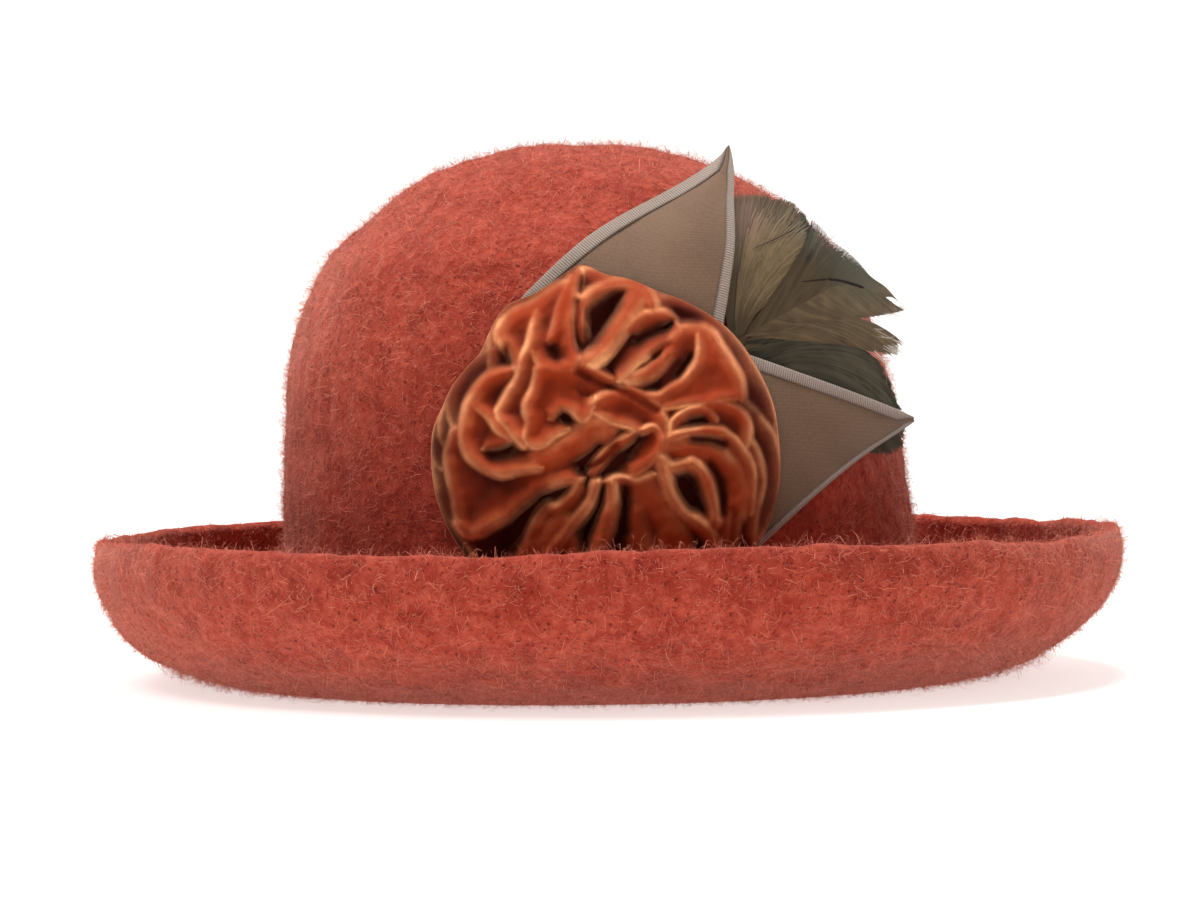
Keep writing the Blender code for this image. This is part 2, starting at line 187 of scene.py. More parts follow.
def wallPlace(x, height):
    # the bearing and run of the wall's point at x and height, on the side of the trimming
    run = np.interp(height, heightTable, runTable)
    half = np.interp(run, runTable, girthTable) * crownHalf[0] + halfWall
    lean = np.interp(run, runTable, leanTable) * hat["crownLength"]
    return np.arcsin(np.clip((x - lean) / half, -1, 1)), run


def onTrimming(flat, lift):
    # a flat place in metres round the rosette's centre, wrapped on the crown: x runs round it, y runs up it
    bearing = rosetteBearing + flat[..., 0] / wallPerBearing
    return onCrown(bearing, rosetteRun + flat[..., 1], lift)


def standOff(flat):
    # past the rosette's edge the trimming leaves the crown by a power of its distance
    past = np.clip(np.hypot(flat[..., 0], flat[..., 1]) / radius - 1, 0, None)
    return trim["standOff"] * past ** trim["standOffPower"]


def flatPlace(direction, distance):
    # direction in degrees and distance in rosette radii, as a flat place in metres
    turn = math.radians(direction)
    return radius * distance * np.array([math.cos(turn), math.sin(turn)])


# Meshes


def meshObject(name, points, faces, material, values=None, uv=None):
    # faces are arrays of corners, each array with its own number of sides
    mesh = bpy.data.meshes.new(name)
    corners = np.concatenate([face.ravel() for face in faces]).astype(np.int32)
    sizes = np.concatenate([np.full(len(face), face.shape[1]) for face in faces])
    starts = np.concatenate([[0], np.cumsum(sizes)[:-1]]).astype(np.int32)
    mesh.vertices.add(len(points))
    mesh.vertices.foreach_set("co", np.asarray(points, np.float32).ravel())
    mesh.loops.add(len(corners))
    mesh.loops.foreach_set("vertex_index", corners)
    mesh.polygons.add(len(starts))
    mesh.polygons.foreach_set("loop_start", starts)
    if uv is not None:
        layer = mesh.uv_layers.new(name="UVMap")
        layer.data.foreach_set("uv", np.asarray(uv, np.float32)[corners].ravel())
    for key, value in (values or {}).items():
        attribute = mesh.attributes.new(key, "FLOAT", "POINT")
        attribute.data.foreach_set("value", np.asarray(value, np.float32).ravel())
    mesh.update(calc_edges=True)
    mesh.shade_smooth()
    mesh.materials.append(material)
    piece = bpy.data.objects.new(name, mesh)
    bpy.context.scene.collection.objects.link(piece)
    return piece


def gridFaces(rows, columns, closed=False, start=0):
    # four-sided faces between neighbours of a rows by columns grid
    r, c = np.meshgrid(np.arange(rows - 1), np.arange(columns if closed else columns - 1), indexing="ij")
    a = start + r * columns + c
    b = start + r * columns + (c + 1) % columns
    return np.stack([a, a + columns, b + columns, b], axis=-1).reshape(-1, 4)


def fanFaces(pole, ring, inward):
    # three-sided faces from a pole to each side of a ring
    after = np.roll(ring, -1)
    sides = (ring, after) if inward else (after, ring)
    return np.stack([np.full_like(ring, pole), *sides], axis=-1)


def stripFaces(strips, stations):
    # four-sided faces along strips whose points lie in pairs, a pair at each station
    first = (np.arange(strips)[:, None] * stations + np.arange(stations - 1)).reshape(-1, 1) * 2
    return first + np.array([0, 1, 3, 2])


def closedSurface(name, grid, first, last, material, values=None):
    # a grid that is closed round its columns, with a pole before its first row and after its last
    rows, columns = grid.shape[:2]
    ring = np.arange(columns)
    faces = [
        gridFaces(rows, columns, closed=True),
        fanFaces(rows * columns, ring, True),
        fanFaces(rows * columns + 1, ring + (rows - 1) * columns, False),
    ]
    points = np.concatenate([grid.reshape(-1, 3), [first, last]])
    return meshObject(name, points, faces, material, values)


def sheetSurface(name, back, front, uv, material, values=None):
    # a closed thin piece between two grids, with a rim of faces round its edge
    rows, columns = front.shape[:2]
    under = rows * columns
    index = np.arange(under).reshape(rows, columns)
    edge = np.concatenate([index[0], index[1:, -1], index[-1, -2::-1], index[-2:0:-1, 0]])
    after = np.roll(edge, -1)
    rim = np.stack([edge, after, after + under, edge + under], axis=-1)
    faces = gridFaces(rows, columns)
    points = np.concatenate([front.reshape(-1, 3), back.reshape(-1, 3)])
    both = {key: np.tile(value.ravel(), 2) for key, value in (values or {}).items()}
    flatUv = np.tile(uv.reshape(-1, 2), (2, 1))
    return meshObject(name, points, [faces[:, ::-1], faces + under, rim[:, ::-1]], material, both, flatUv)


# Materials


def srgb(red, green, blue):
    # display colour 0 to 255 as linear light
    share = np.array([red, green, blue]) / 255
    return tuple(np.where(share <= 0.04045, share / 12.92, ((share + 0.055) / 1.055) ** 2.4)) + (1.0,)


def addNode(tree, kind, **settings):
    node = tree.nodes.new(kind)
    for key, value in settings.items():
        setattr(node, key, value)
    return node


def plug(tree, value, socket):
    # another node's output is linked, and a number or a colour is set
    if isinstance(value, bpy.types.NodeSocket):
        tree.links.new(value, socket)
    else:
        socket.default_value = value


clothGloss = 0.12  # specular level: every piece is wool, cloth or feather


def newMaterial(name, roughness, sheen=0.0, sheenRoughness=0.5, sheenTint=(1, 1, 1, 1)):
    material = bpy.data.materials.new(name)
    material.use_nodes = True
    shader = material.node_tree.nodes["Principled BSDF"]
    shader.inputs["Roughness"].default_value = roughness
    shader.inputs["Specular IOR Level"].default_value = clothGloss
    shader.inputs["Sheen Weight"].default_value = sheen
    shader.inputs["Sheen Roughness"].default_value = sheenRoughness
    shader.inputs["Sheen Tint"].default_value = sheenTint
    return material, material.node_tree, shader


def newGroup(name, inputs, outputs):
    group = bpy.data.node_groups.new(name, "ShaderNodeTree")
    for label, kind, value in inputs:
        socket = group.interface.new_socket(name=label, in_out="INPUT", socket_type=kind)
        if value is not None:
            socket.default_value = value
    for label, kind in outputs:
        group.interface.new_socket(name=label, in_out="OUTPUT", socket_type=kind)
    return group, group.nodes.new("NodeGroupInput"), group.nodes.new("NodeGroupOutput")


def placeGroup(tree, group, **values):
    node = addNode(tree, "ShaderNodeGroup", node_tree=group)
    for key, value in values.items():
        plug(tree, value, node.inputs[key])
    return node


def mathNode(tree, operation, first, second=None, clamp=False):
    node = addNode(tree, "ShaderNodeMath", operation=operation, use_clamp=clamp)
    for socket, value in zip(node.inputs, (first, second)):
        if value is not None:
            plug(tree, value, socket)
    return node.outputs[0]


def times(tree, first, second):
    return mathNode(tree, "MULTIPLY", first, second)


def plus(tree, first, second):
    return mathNode(tree, "ADD", first, second)


def mixColour(tree, share, first, second):
    node = addNode(tree, "ShaderNodeMix", data_type="RGBA")
    for number, value in ((0, share), (6, first), (7, second)):  # factor, A and B of a colour mix
        plug(tree, value, node.inputs[number])
    return node.outputs[2]


def between(tree, value, low, high):
    # 0 below low, 1 above high, smooth between
    node = addNode(tree, "ShaderNodeMapRange", interpolation_type="SMOOTHSTEP")
    for number, item in enumerate((value, low, high)):
        plug(tree, item, node.inputs[number])
    return node.outputs[0]


def noiseNode(tree, vector, scale, detail=2, roughness=0.5, distortion=0):
    node = addNode(tree, "ShaderNodeTexNoise")
    keys = ("Vector", "Scale", "Detail", "Roughness", "Distortion")
    for key, value in zip(keys, (vector, scale, detail, roughness, distortion)):
        plug(tree, value, node.inputs[key])
    return node.outputs[0]


def attributeValue(tree, key):
    return addNode(tree, "ShaderNodeAttribute", attribute_name=key).outputs["Fac"]


def addBump(tree, shader, height, distance):
    bump = addNode(tree, "ShaderNodeBump")
    plug(tree, distance, bump.inputs["Distance"])
    plug(tree, height, bump.inputs["Height"])
    plug(tree, bump.outputs[0], shader.inputs["Normal"])


def makeFleckGroup():
    # mottled wool: pale clouds from a fine noise, deep patches from a broad one, specks from a third one's peaks
    group, source, sink = newGroup(
        "woolFlecks",
        [("Vector", "NodeSocketVector", None), ("Scale", "NodeSocketFloat", 300.0)],
        [(label, "NodeSocketFloat") for label in ("Pale", "Deep", "Speck", "Height")],
    )
    noises = {}
    for label, share, detail, distortion, low, high in (
        ("Pale", 1.0, 4, 0.3, 0.36, 0.70),
        ("Deep", 0.28, 3, 0.6, 0.42, 0.66),
        ("Speck", 1.9, 2, 0.0, 0.58, 0.70),
    ):
        scale = times(group, source.outputs["Scale"], share)
        noises[label] = noiseNode(group, source.outputs["Vector"], scale, detail, 0.6, distortion)
        plug(group, between(group, noises[label], low, high), sink.inputs[label])
    plug(group, plus(group, noises["Pale"], times(group, noises["Speck"], 0.35)), sink.inputs["Height"])
    return group


def makeThreadGroup():
    # plain weave on a UV map in metres: warp and weft waves, with a little noise along each thread
    group, source, sink = newGroup(
        "threadWeave",
        [
            ("Vector", "NodeSocketVector", None),
            ("Warp", "NodeSocketFloat", 0.4 * mm),
            ("Weft", "NodeSocketFloat", 0.4 * mm),
            ("Unevenness", "NodeSocketFloat", 0.3),
        ],
        [("Thread", "NodeSocketFloat"), ("Height", "NodeSocketFloat")],
    )
    split = addNode(group, "ShaderNodeSeparateXYZ")
    plug(group, source.outputs["Vector"], split.inputs[0])
    waves = []
    for axis, pitch in ((0, "Warp"), (1, "Weft")):
        turn = times(group, split.outputs[axis], 2 * math.pi)
        waves.append(mathNode(group, "SINE", mathNode(group, "DIVIDE", turn, source.outputs[pitch])))
    noise = noiseNode(group, source.outputs["Vector"], 900, 3)
    uneven = times(group, noise, source.outputs["Unevenness"])
    weave = times(group, plus(group, *waves), 0.25)
    plug(group, plus(group, uneven, plus(group, weave, 0.35)), sink.inputs["Thread"])
    plug(group, plus(group, weave, uneven), sink.inputs["Height"])
    return group


woolFlecks = makeFleckGroup()
threadWeave = makeThreadGroup()

feltColours = {
    "base": srgb(147, 48, 33),
    "pale": srgb(168, 70, 52),
    "deep": srgb(122, 28, 16),
    "speck": srgb(88, 13, 7),
    "fibreLow": srgb(142, 45, 32),
    "fibreHigh": srgb(222, 138, 113),
    "fleckScale": 380.0,
    "deepShare": 0.65,
    "speckShare": 0.85,
    "relief": 0.9 * mm,
}


def makeFeltMaterial():
    material, tree, shader = newMaterial("feltWool", 0.95, 0.3, 0.5, (1, 0.62, 0.5, 1))
    place = addNode(tree, "ShaderNodeTexCoord").outputs["Object"]
    flecks = placeGroup(tree, woolFlecks, Vector=place, Scale=feltColours["fleckScale"]).outputs
    colour = mixColour(tree, flecks["Pale"], feltColours["base"], feltColours["pale"])
    for label, key in (("Deep", "deep"), ("Speck", "speck")):
        share = times(tree, flecks[label], feltColours[key + "Share"])
        colour = mixColour(tree, share, colour, feltColours[key])
    plug(tree, colour, shader.inputs["Base Color"])
    addBump(tree, shader, flecks["Height"], feltColours["relief"])
    return material


def makeFibreMaterial():
    # each fibre has its own tone, from the felt's own red to pale pink; fibres that stand off are painted paler,
    # a painted highlight
    material, tree, shader = newMaterial("feltFibre", 0.9, 0.3, 0.5, (1, 0.66, 0.55, 1))
    colour = mixColour(tree, attributeValue(tree, "tone"), feltColours["fibreLow"], feltColours["fibreHigh"])
    plug(tree, colour, shader.inputs["Base Color"])
    return material


velvetColours = {
    "base": srgb(144, 46, 14),
    # dark: painted shade, laid on the hollows between the folds by their height
    "dark": srgb(60, 12, 3),
    "pale": srgb(236, 162, 110),
    "hollowShadeBelow": 0.38,  # of the folds' height
    "pileScale": 900,
    "patchScale": 190,
    "relief": 0.25 * mm,
}


def makeVelvetMaterial():
    # painted shade dark in the hollows, base colour on the flanks, and pale along the crests: partly the nap,
    # partly painted sheen where the folds turn away, broken by patches and pile
    material, tree, shader = newMaterial("rustVelvet", 0.9, 0.7, 0.3, (1, 0.40, 0.20, 1))
    place = addNode(tree, "ShaderNodeTexCoord").outputs["Object"]
    pile = noiseNode(tree, place, velvetColours["pileScale"], 5, 0.7)
    patches = between(tree, noiseNode(tree, place, velvetColours["patchScale"]), 0.30, 0.70)
    # painted shade: the lower a fold's height, the nearer its colour to the dark
    depth = between(tree, attributeValue(tree, "foldHeight"), velvetColours["hollowShadeBelow"], 1.0)
    colour = mixColour(tree, depth, velvetColours["dark"], velvetColours["base"])
    share = times(tree, attributeValue(tree, "napAndSheenPale"), plus(tree, times(tree, patches, 0.5), 0.5))
    grain = plus(tree, times(tree, pile, 0.6), 0.7)
    colour = mixColour(tree, mathNode(tree, "MULTIPLY", share, grain, True), colour, velvetColours["pale"])
    plug(tree, colour, shader.inputs["Base Color"])
    addBump(tree, shader, pile, velvetColours["relief"])
    return material


ribbonColours = {
    "field": srgb(123, 96, 76),
    "fieldDark": srgb(99, 76, 60),
    "band": srgb(160, 143, 131),
    "bandDark": srgb(104, 87, 77),
    # painted shade for the groove along the band's inner side
    "grooveShade": srgb(84, 66, 56),
    "ribPitch": 0.8 * mm,
    "threadPitch": 0.42 * mm,
}


def makeRibbonMaterial():
    # plain weave, clouded a little
    material, tree, shader = newMaterial("ribbonField", 0.7, 0.25, 0.4)
    place = addNode(tree, "ShaderNodeUVMap", uv_map="UVMap").outputs[0]
    pitch = ribbonColours["threadPitch"]
    weave = placeGroup(tree, threadWeave, Vector=place, Warp=pitch, Weft=pitch, Unevenness=0.7).outputs
    clouds = plus(tree, noiseNode(tree, place, 60, 3), 0.4)
    share = between(tree, times(tree, weave["Thread"], clouds), 0.25, 0.95)
    colour = mixColour(tree, share, ribbonColours["fieldDark"], ribbonColours["field"])
    plug(tree, colour, shader.inputs["Base Color"])
    addBump(tree, shader, weave["Height"], 0.10 * mm)
    return material


def makeBandMaterial():
    # cross ribs along the band, with painted shade in the groove along its inner side
    material, tree, shader = newMaterial("ribbonBand", 0.65, 0.25, 0.4)
    place = addNode(tree, "ShaderNodeUVMap", uv_map="UVMap").outputs[0]
    pitch = ribbonColours["ribPitch"]
    weave = placeGroup(tree, threadWeave, Vector=place, Warp=pitch, Weft=0.5 * mm, Unevenness=0.5).outputs
    split = addNode(tree, "ShaderNodeSeparateXYZ")
    plug(tree, place, split.inputs[0])
    wave = mathNode(tree, "SINE", times(tree, split.outputs[0], 2 * math.pi / pitch))
    rib = mathNode(tree, "POWER", plus(tree, times(tree, wave, 0.5), 0.5), 0.4)
    colour = mixColour(tree, rib, ribbonColours["bandDark"], ribbonColours["band"])
    colour = mixColour(tree, attributeValue(tree, "grooveShade"), colour, ribbonColours["grooveShade"])
    plug(tree, colour, shader.inputs["Base Color"])
    addBump(tree, shader, plus(tree, rib, weave["Height"]), 0.15 * mm)
    return material


def makeFeatherMaterial(name, low, high):
    # each barb's tone runs from the low to the high colour; spots are tinted pink, green or ink
    material, tree, shader = newMaterial(name, 0.55, 0.2, 0.4)
    colour = mixColour(tree, between(tree, attributeValue(tree, "tone"), 0.15, 0.85), low, high)
    for key, strength in (("pink", 0.75), ("green", 0.75), ("ink", 0.95)):
        share = times(tree, attributeValue(tree, key), strength)
        colour = mixColour(tree, share, colour, featherColours[key])
    plug(tree, colour, shader.inputs["Base Color"])
    return material


def plainMaterial(name, colour, roughness):
    material, tree, shader = newMaterial(name, roughness)
    shader.inputs["Base Color"].default_value = colour
    return material


print("materials")

# Felt

felt = {
    "around": 320,
    "crownRows": 96,
    "filletRows": 6,
    "standRows": 4,
    "rollRows": 34,
    "rimRows": 8,
    "insideRows": 44,
    "lump": 0.5 * mm,  # soft unevenness of the fulled wool, and its size
    "lumpSize": 26 * mm,
    "dimple": 0.3 * mm,
    "dimpleSize": 7 * mm,
    "evenBelow": (1 * mm, 9 * mm),  # heights between which the unevenness sets in
    "rimOverlap": 6,  # rows inside the rim that the brim's fuzz also covers
}


def brimRings(bearing):
    # reach out from the crown's foot, height and slope of the brim's mid face: a quarter-round fillet,
    # a flat to stand on, and a superellipse roll, blunter towards the back and turned in at the rim
    level = np.ones(len(bearing))
    fillet, stand = hat["footFillet"], hat["standWidth"]
    rings = []
    for turn in np.linspace(0, math.pi / 2, felt["filletRows"], endpoint=False):
        out, up = fillet * (1 - math.cos(turn)), fillet * (1 - math.sin(turn))
        rings.append((out * level, up * level, (turn - math.pi / 2) * level))
    for out in np.linspace(fillet, fillet + stand, felt["standRows"] + 1):
        rings.append((out * level, 0 * level, 0 * level))
    power = 2 / (hat["rollBack"] + (hat["rollFront"] - hat["rollBack"]) * (1 - np.sin(bearing)) / 2)
    wave = hat["rimWave"] * np.sin(hat["rimWaves"] * bearing)
    past = math.cos(math.radians(hat["rollTurn"]))
    rollWidth = brimReach - fillet - stand
    rollHeight = (hat["rimHeight"] - hat["wall"] + wave) / (1 + abs(past) ** power)
    for turn in np.radians(np.linspace(0, hat["rollTurn"], felt["rollRows"] + 1)[1:]):
        sine, cosine = math.sin(turn), math.cos(turn)
        out = fillet + stand + rollWidth * sine**power
        up = rollHeight * (1 - abs(cosine) ** power * math.copysign(1, cosine))
        steep = rollHeight * abs(cosine) ** (power - 1) * sine
        rings.append((out, up, np.arctan2(steep, rollWidth * sine ** (power - 1) * cosine)))
    return rings


def onBrim(bearing, ring, off, turn=0.0):
    # a ring's point, moved off along its normal turned on by turn; the reach blends crown and brim ellipses
    out, up, slope = ring
    reach = out - off * np.sin(slope - turn)
    share = reach / brimReach
    half = crownHalf + share[:, None] * (brimHalf - crownHalf)
    lean = hat["footLean"] * hat["crownLength"] * np.clip(1 - share, 0, 1)
    z = halfWall + up + off * np.cos(slope - turn)
    return np.stack([lean + half[:, 0] * np.sin(bearing), -half[:, 1] * np.cos(bearing), z], axis=-1)


def gridNormals(grid):
    # cross product of the steps down the rows and round the closed columns
    down = np.gradient(grid, axis=0)
    wrapped = np.concatenate([grid[:, -1:], grid, grid[:, :1]], axis=1)
    return unit(np.cross(down, wrapped[:, 2:] - wrapped[:, :-2]))


def unevenFelt(grid, normal):
    # lumps and dimples along the normal, none where the brim stands on its flat
    height = felt["lump"] * softNoise(grid, felt["lumpSize"], 3)
    height += felt["dimple"] * softNoise(grid, felt["dimpleSize"], 4)
    height *= smoothStep(*felt["evenBelow"], grid[..., 2])
    return grid + normal * height[..., None]


def makeFeltBody(material):
    # one closed wall: crown outside, brim top, rim, brim underside and crown inside, ring after ring
    bearing = np.linspace(0, 2 * math.pi, felt["around"], endpoint=False)
    outside = np.linspace(crownRun, 0, felt["crownRows"] + 1)[1:-1]
    inside = np.linspace(0, crownRun, felt["insideRows"] + 1)[1:-1]
    rimTurns = np.linspace(0, math.pi, felt["rimRows"] + 1)[1:-1]
    brim = brimRings(bearing)
    rings = [onCrown(bearing, np.full_like(bearing, run), 0.0) for run in outside]
    rings += [onBrim(bearing, ring, halfWall) for ring in brim]
    topRows = len(rings)
    rings += [onBrim(bearing, brim[-1], halfWall, turn) for turn in rimTurns]
    rings += [onBrim(bearing, ring, -halfWall) for ring in brim[::-1]]
    underRows = len(rings)
    rings += [onCrown(bearing, np.full_like(bearing, run), -hat["wall"]) for run in inside]
    grid = np.array(rings)
    normal = gridNormals(grid)
    grid = unevenFelt(grid, normal)
    top, under = (onCrown(0.0, crownRun, lift) for lift in (0.0, -hat["wall"]))
    piece = closedSurface("feltBody", grid, top, under, material)
    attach(piece, "root")
    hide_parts("felt_body")
    crownRows = len(outside)
    rows = {
        "crown": slice(0, crownRows),
        "trough": slice(crownRows - 1, topRows),
        "roll": slice(topRows - felt["rimOverlap"], underRows),
    }
    return {key: (grid[part], normal[part]) for key, part in rows.items()}


fuzz = {
    "sink": 0.15 * mm,
    "width": (0.09 * mm, 0.17 * mm),
    "length": (1.0 * mm, 5.0 * mm),
    "longShare": 1.7,  # how few fibres are long
    "stand": 0.78,  # the most that a fibre stands off, as a share of its length
    "least": 0.25 * mm,
    "bend": 0.5,
    "middle": 0.5,  # how far along its length a fibre's middle and tip are
    "tip": 0.85,
    "tipRise": (0.5, 1.5),
    "floor": 0.05 * mm,  # no fibre goes lower
    "tone": (0.28, 0.14, 0.45),  # mean, spread and how much paler a standing fibre is painted, a painted highlight
    "places": (
        # surface, name, fibres, whether the trimming covers some of it, seed
        ("crown", "crownFuzz", 70000, True, 11),
        ("roll", "brimFuzz", 65500, False, 12),
        ("trough", "troughFuzz", 23000, False, 13),
    ),
}

# the ribbons' and plumes' outline on the crown and the rosette's reach, in hundredths of the rosette's
# radius: no fibre grows under them
rosetteCover = 94
trimmingEdge = (
    (-56, 76), (-20, 112), (112, 176), (126, 166), (122, 150), (150, 150), (172, 142), (186, 134), (200, 112),
    (216, 98), (240, 84), (256, 74), (240, 48), (218, 40), (216, 26), (224, 12), (214, -8), (174, -16),
    (120, -58), (50, -96),
)


def underTrimming(points):
    # on the crown's near side, within the rosette or an odd number of the outline's sides across
    bearing, run = wallPlace(points[:, 0], points[:, 2])
    x = (bearing - rosetteBearing) * wallPerBearing / radius * 100
    y = (run - rosetteRun) / radius * 100
    within = np.hypot(x, y) < rosetteCover
    inside = within.copy()
    for (x1, y1), (x2, y2) in zip(trimmingEdge, trimmingEdge[1:] + trimmingEdge[:1]):
        if y1 != y2:
            crosses = ((y1 > y) != (y2 > y)) & (x < x1 + (y - y1) * (x2 - x1) / (y2 - y1))
            inside ^= crosses & ~within
    return (points[:, 1] < 0) & inside


def scatterOn(grid, normal, count, chance):
    # random places on a closed-column grid, as many for each area, with their normal and tangents
    rows, columns = grid.shape[:2]
    beside = np.roll(grid, -1, axis=1)
    area = np.linalg.norm(np.cross(grid[1:] - grid[:-1], beside[:-1] - grid[:-1]), axis=-1).ravel()
    cell = chance.choice(len(area), count, p=area / area.sum())
    r, c = cell // columns, cell % columns
    u, v = chance.random(count)[:, None], chance.random(count)[:, None]
    after = (c + 1) % columns

    def blend(field):
        left = field[r, c] * (1 - u) + field[r + 1, c] * u
        right = field[r, after] * (1 - u) + field[r + 1, after] * u
        return left * (1 - v) + right * v

    outward = unit(blend(normal))
    down = grid[r + 1, c] - grid[r, c]
    down = unit(down - outward * (down * outward).sum(1)[:, None])
    return blend(grid), outward, down, np.cross(outward, down)


def makeFuzz(name, surface, count, trimmed, seed, material):
    # tapered strips with a foot, a middle and a tip, which leave on a random heading, rise and bend aside
    chance = np.random.default_rng(seed)
    root, outward, down, across = scatterOn(*surface, count, chance)
    heading = chance.uniform(0, 2 * np.pi, count)[:, None]
    along = down * np.cos(heading) + across * np.sin(heading)
    aside = np.cross(along, outward)
    shortest, longest = fuzz["length"]
    length = (shortest + (longest - shortest) * chance.random(count) ** fuzz["longShare"])[:, None]
    stands = chance.random(count)[:, None]
    lift = fuzz["least"] + fuzz["stand"] * stands * length
    bend = chance.normal(0, fuzz["bend"], (count, 1)) * length
    half = chance.uniform(*fuzz["width"], count)[:, None] / 2
    twist = chance.uniform(0, np.pi, count)[:, None]
    broad = (aside * np.cos(twist) + outward * np.sin(twist)) * half
    foot = root - outward * fuzz["sink"]
    middle = foot + along * length * fuzz["middle"] + aside * bend * 0.3 + outward * lift
    rise = lift * chance.uniform(*fuzz["tipRise"], (count, 1))
    tip = foot + along * length * fuzz["tip"] + aside * bend + outward * rise
    points = np.stack([foot + broad, foot - broad, middle + broad * 0.8, middle - broad * 0.8, tip], axis=1)
    points[..., 2] = np.maximum(points[..., 2], fuzz["floor"])
    mean, spread, standingHighlight = fuzz["tone"]
    # painted highlight: the more a fibre stands off, the paler its tone
    tone = np.clip(chance.normal(mean, spread, count) + standingHighlight * stands[:, 0], 0, 1)
    free = ~underTrimming(root) if trimmed else np.ones(count, bool)
    points, tone = points[free], np.repeat(tone[free], 5)
    start = np.arange(len(points))[:, None] * 5
    faces = [start + np.array([0, 1, 3, 2]), start + np.array([2, 3, 4])]
    piece = meshObject(name, points.reshape(-1, 3), faces, material, {"tone": tone})
    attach(piece, "root")


feltSurfaces = makeFeltBody(makeFeltMaterial())
fibreMaterial = makeFibreMaterial()
for surfaceName, pieceName, *fibres in fuzz["places"]:
    makeFuzz(pieceName, feltSurfaces[surfaceName], *fibres, fibreMaterial)
print("felt and its fuzz")

# Velvet rosette

rosette = {
    "around": 620,
    "rings": 138,
    "backRings": 7,
    "backEdge": 0.95,
    "hollowBegins": (-80, -60),
    "hollowEnds": (135, 155),
    "hollowShares": (0.34, 0.46),
    "hollowSeam": -110,
    "domePower": 0.6,
    "foldDepth": 9.5 * mm,
    "foldLevel": 0.72,
    "fadeStart": 0.85,
    "fadeShare": 0.55,
    "floor": 0.30,
    "parting": 12,
    "steps": 26,
    "wideFold": 0.075,
    "skirt": 1.35,  # how far a crest's flanks reach, in half widths, and how round they are
    "roundness": 0.62,
    "wideRoundness": 0.35,
    "panelEnds": 0.35,  # how bluntly a panel narrows at its ends, and how its slope starts and curves
    "panelFoot": 0.30,
    "panelCurve": 0.75,
    "soften": 3,
    "hollowWidth": 0.008,
    "hollowDepth": 0.8,
    "rimStep": 0.88,  # the level at which a panel leaves its crest
    # pale lines along the crests: partly the nap, partly painted sheen
    "rimShift": 0.55,  # the pale line, partly nap and partly painted sheen where the crest turns away, lies this share of the half width down the crest's steep sides
    "rimPale": 0.42,
    "crestPale": 0.22,
    "farRim": 0.3,  # how pale the right-hand line of a round fold is, the painted sheen being weaker on that side
    "paleUnevenness": 0.7,  # how unevenly the pale nap and painted sheen are broken up
    "panelEdge": 0.05,
    "ripples": ((0.34, 0.055), (0.11, 0.032), (0.055, 0.014)),  # size and depth of the cloth's own unevenness
    "seen": 0.975,  # the crests' shares were judged a little nearer the camera
    "raise": 0.038,  # and a little lower
}

rosetteOutline = (
    # angle, share
    (0, 0.955), (14, 0.95), (30, 0.935), (46, 0.93), (60, 0.91), (73, 0.9), (82, 0.925), (90, 0.945),
    (98, 1.005), (105, 0.965), (114, 0.93), (126, 0.95), (136, 0.9), (143, 0.87), (150, 0.89),
    (158, 0.92), (166, 0.94), (172, 0.965), (184, 0.98), (205, 0.99), (240, 0.98), (300, 0.98),
    (330, 1.0), (345, 0.985),
)
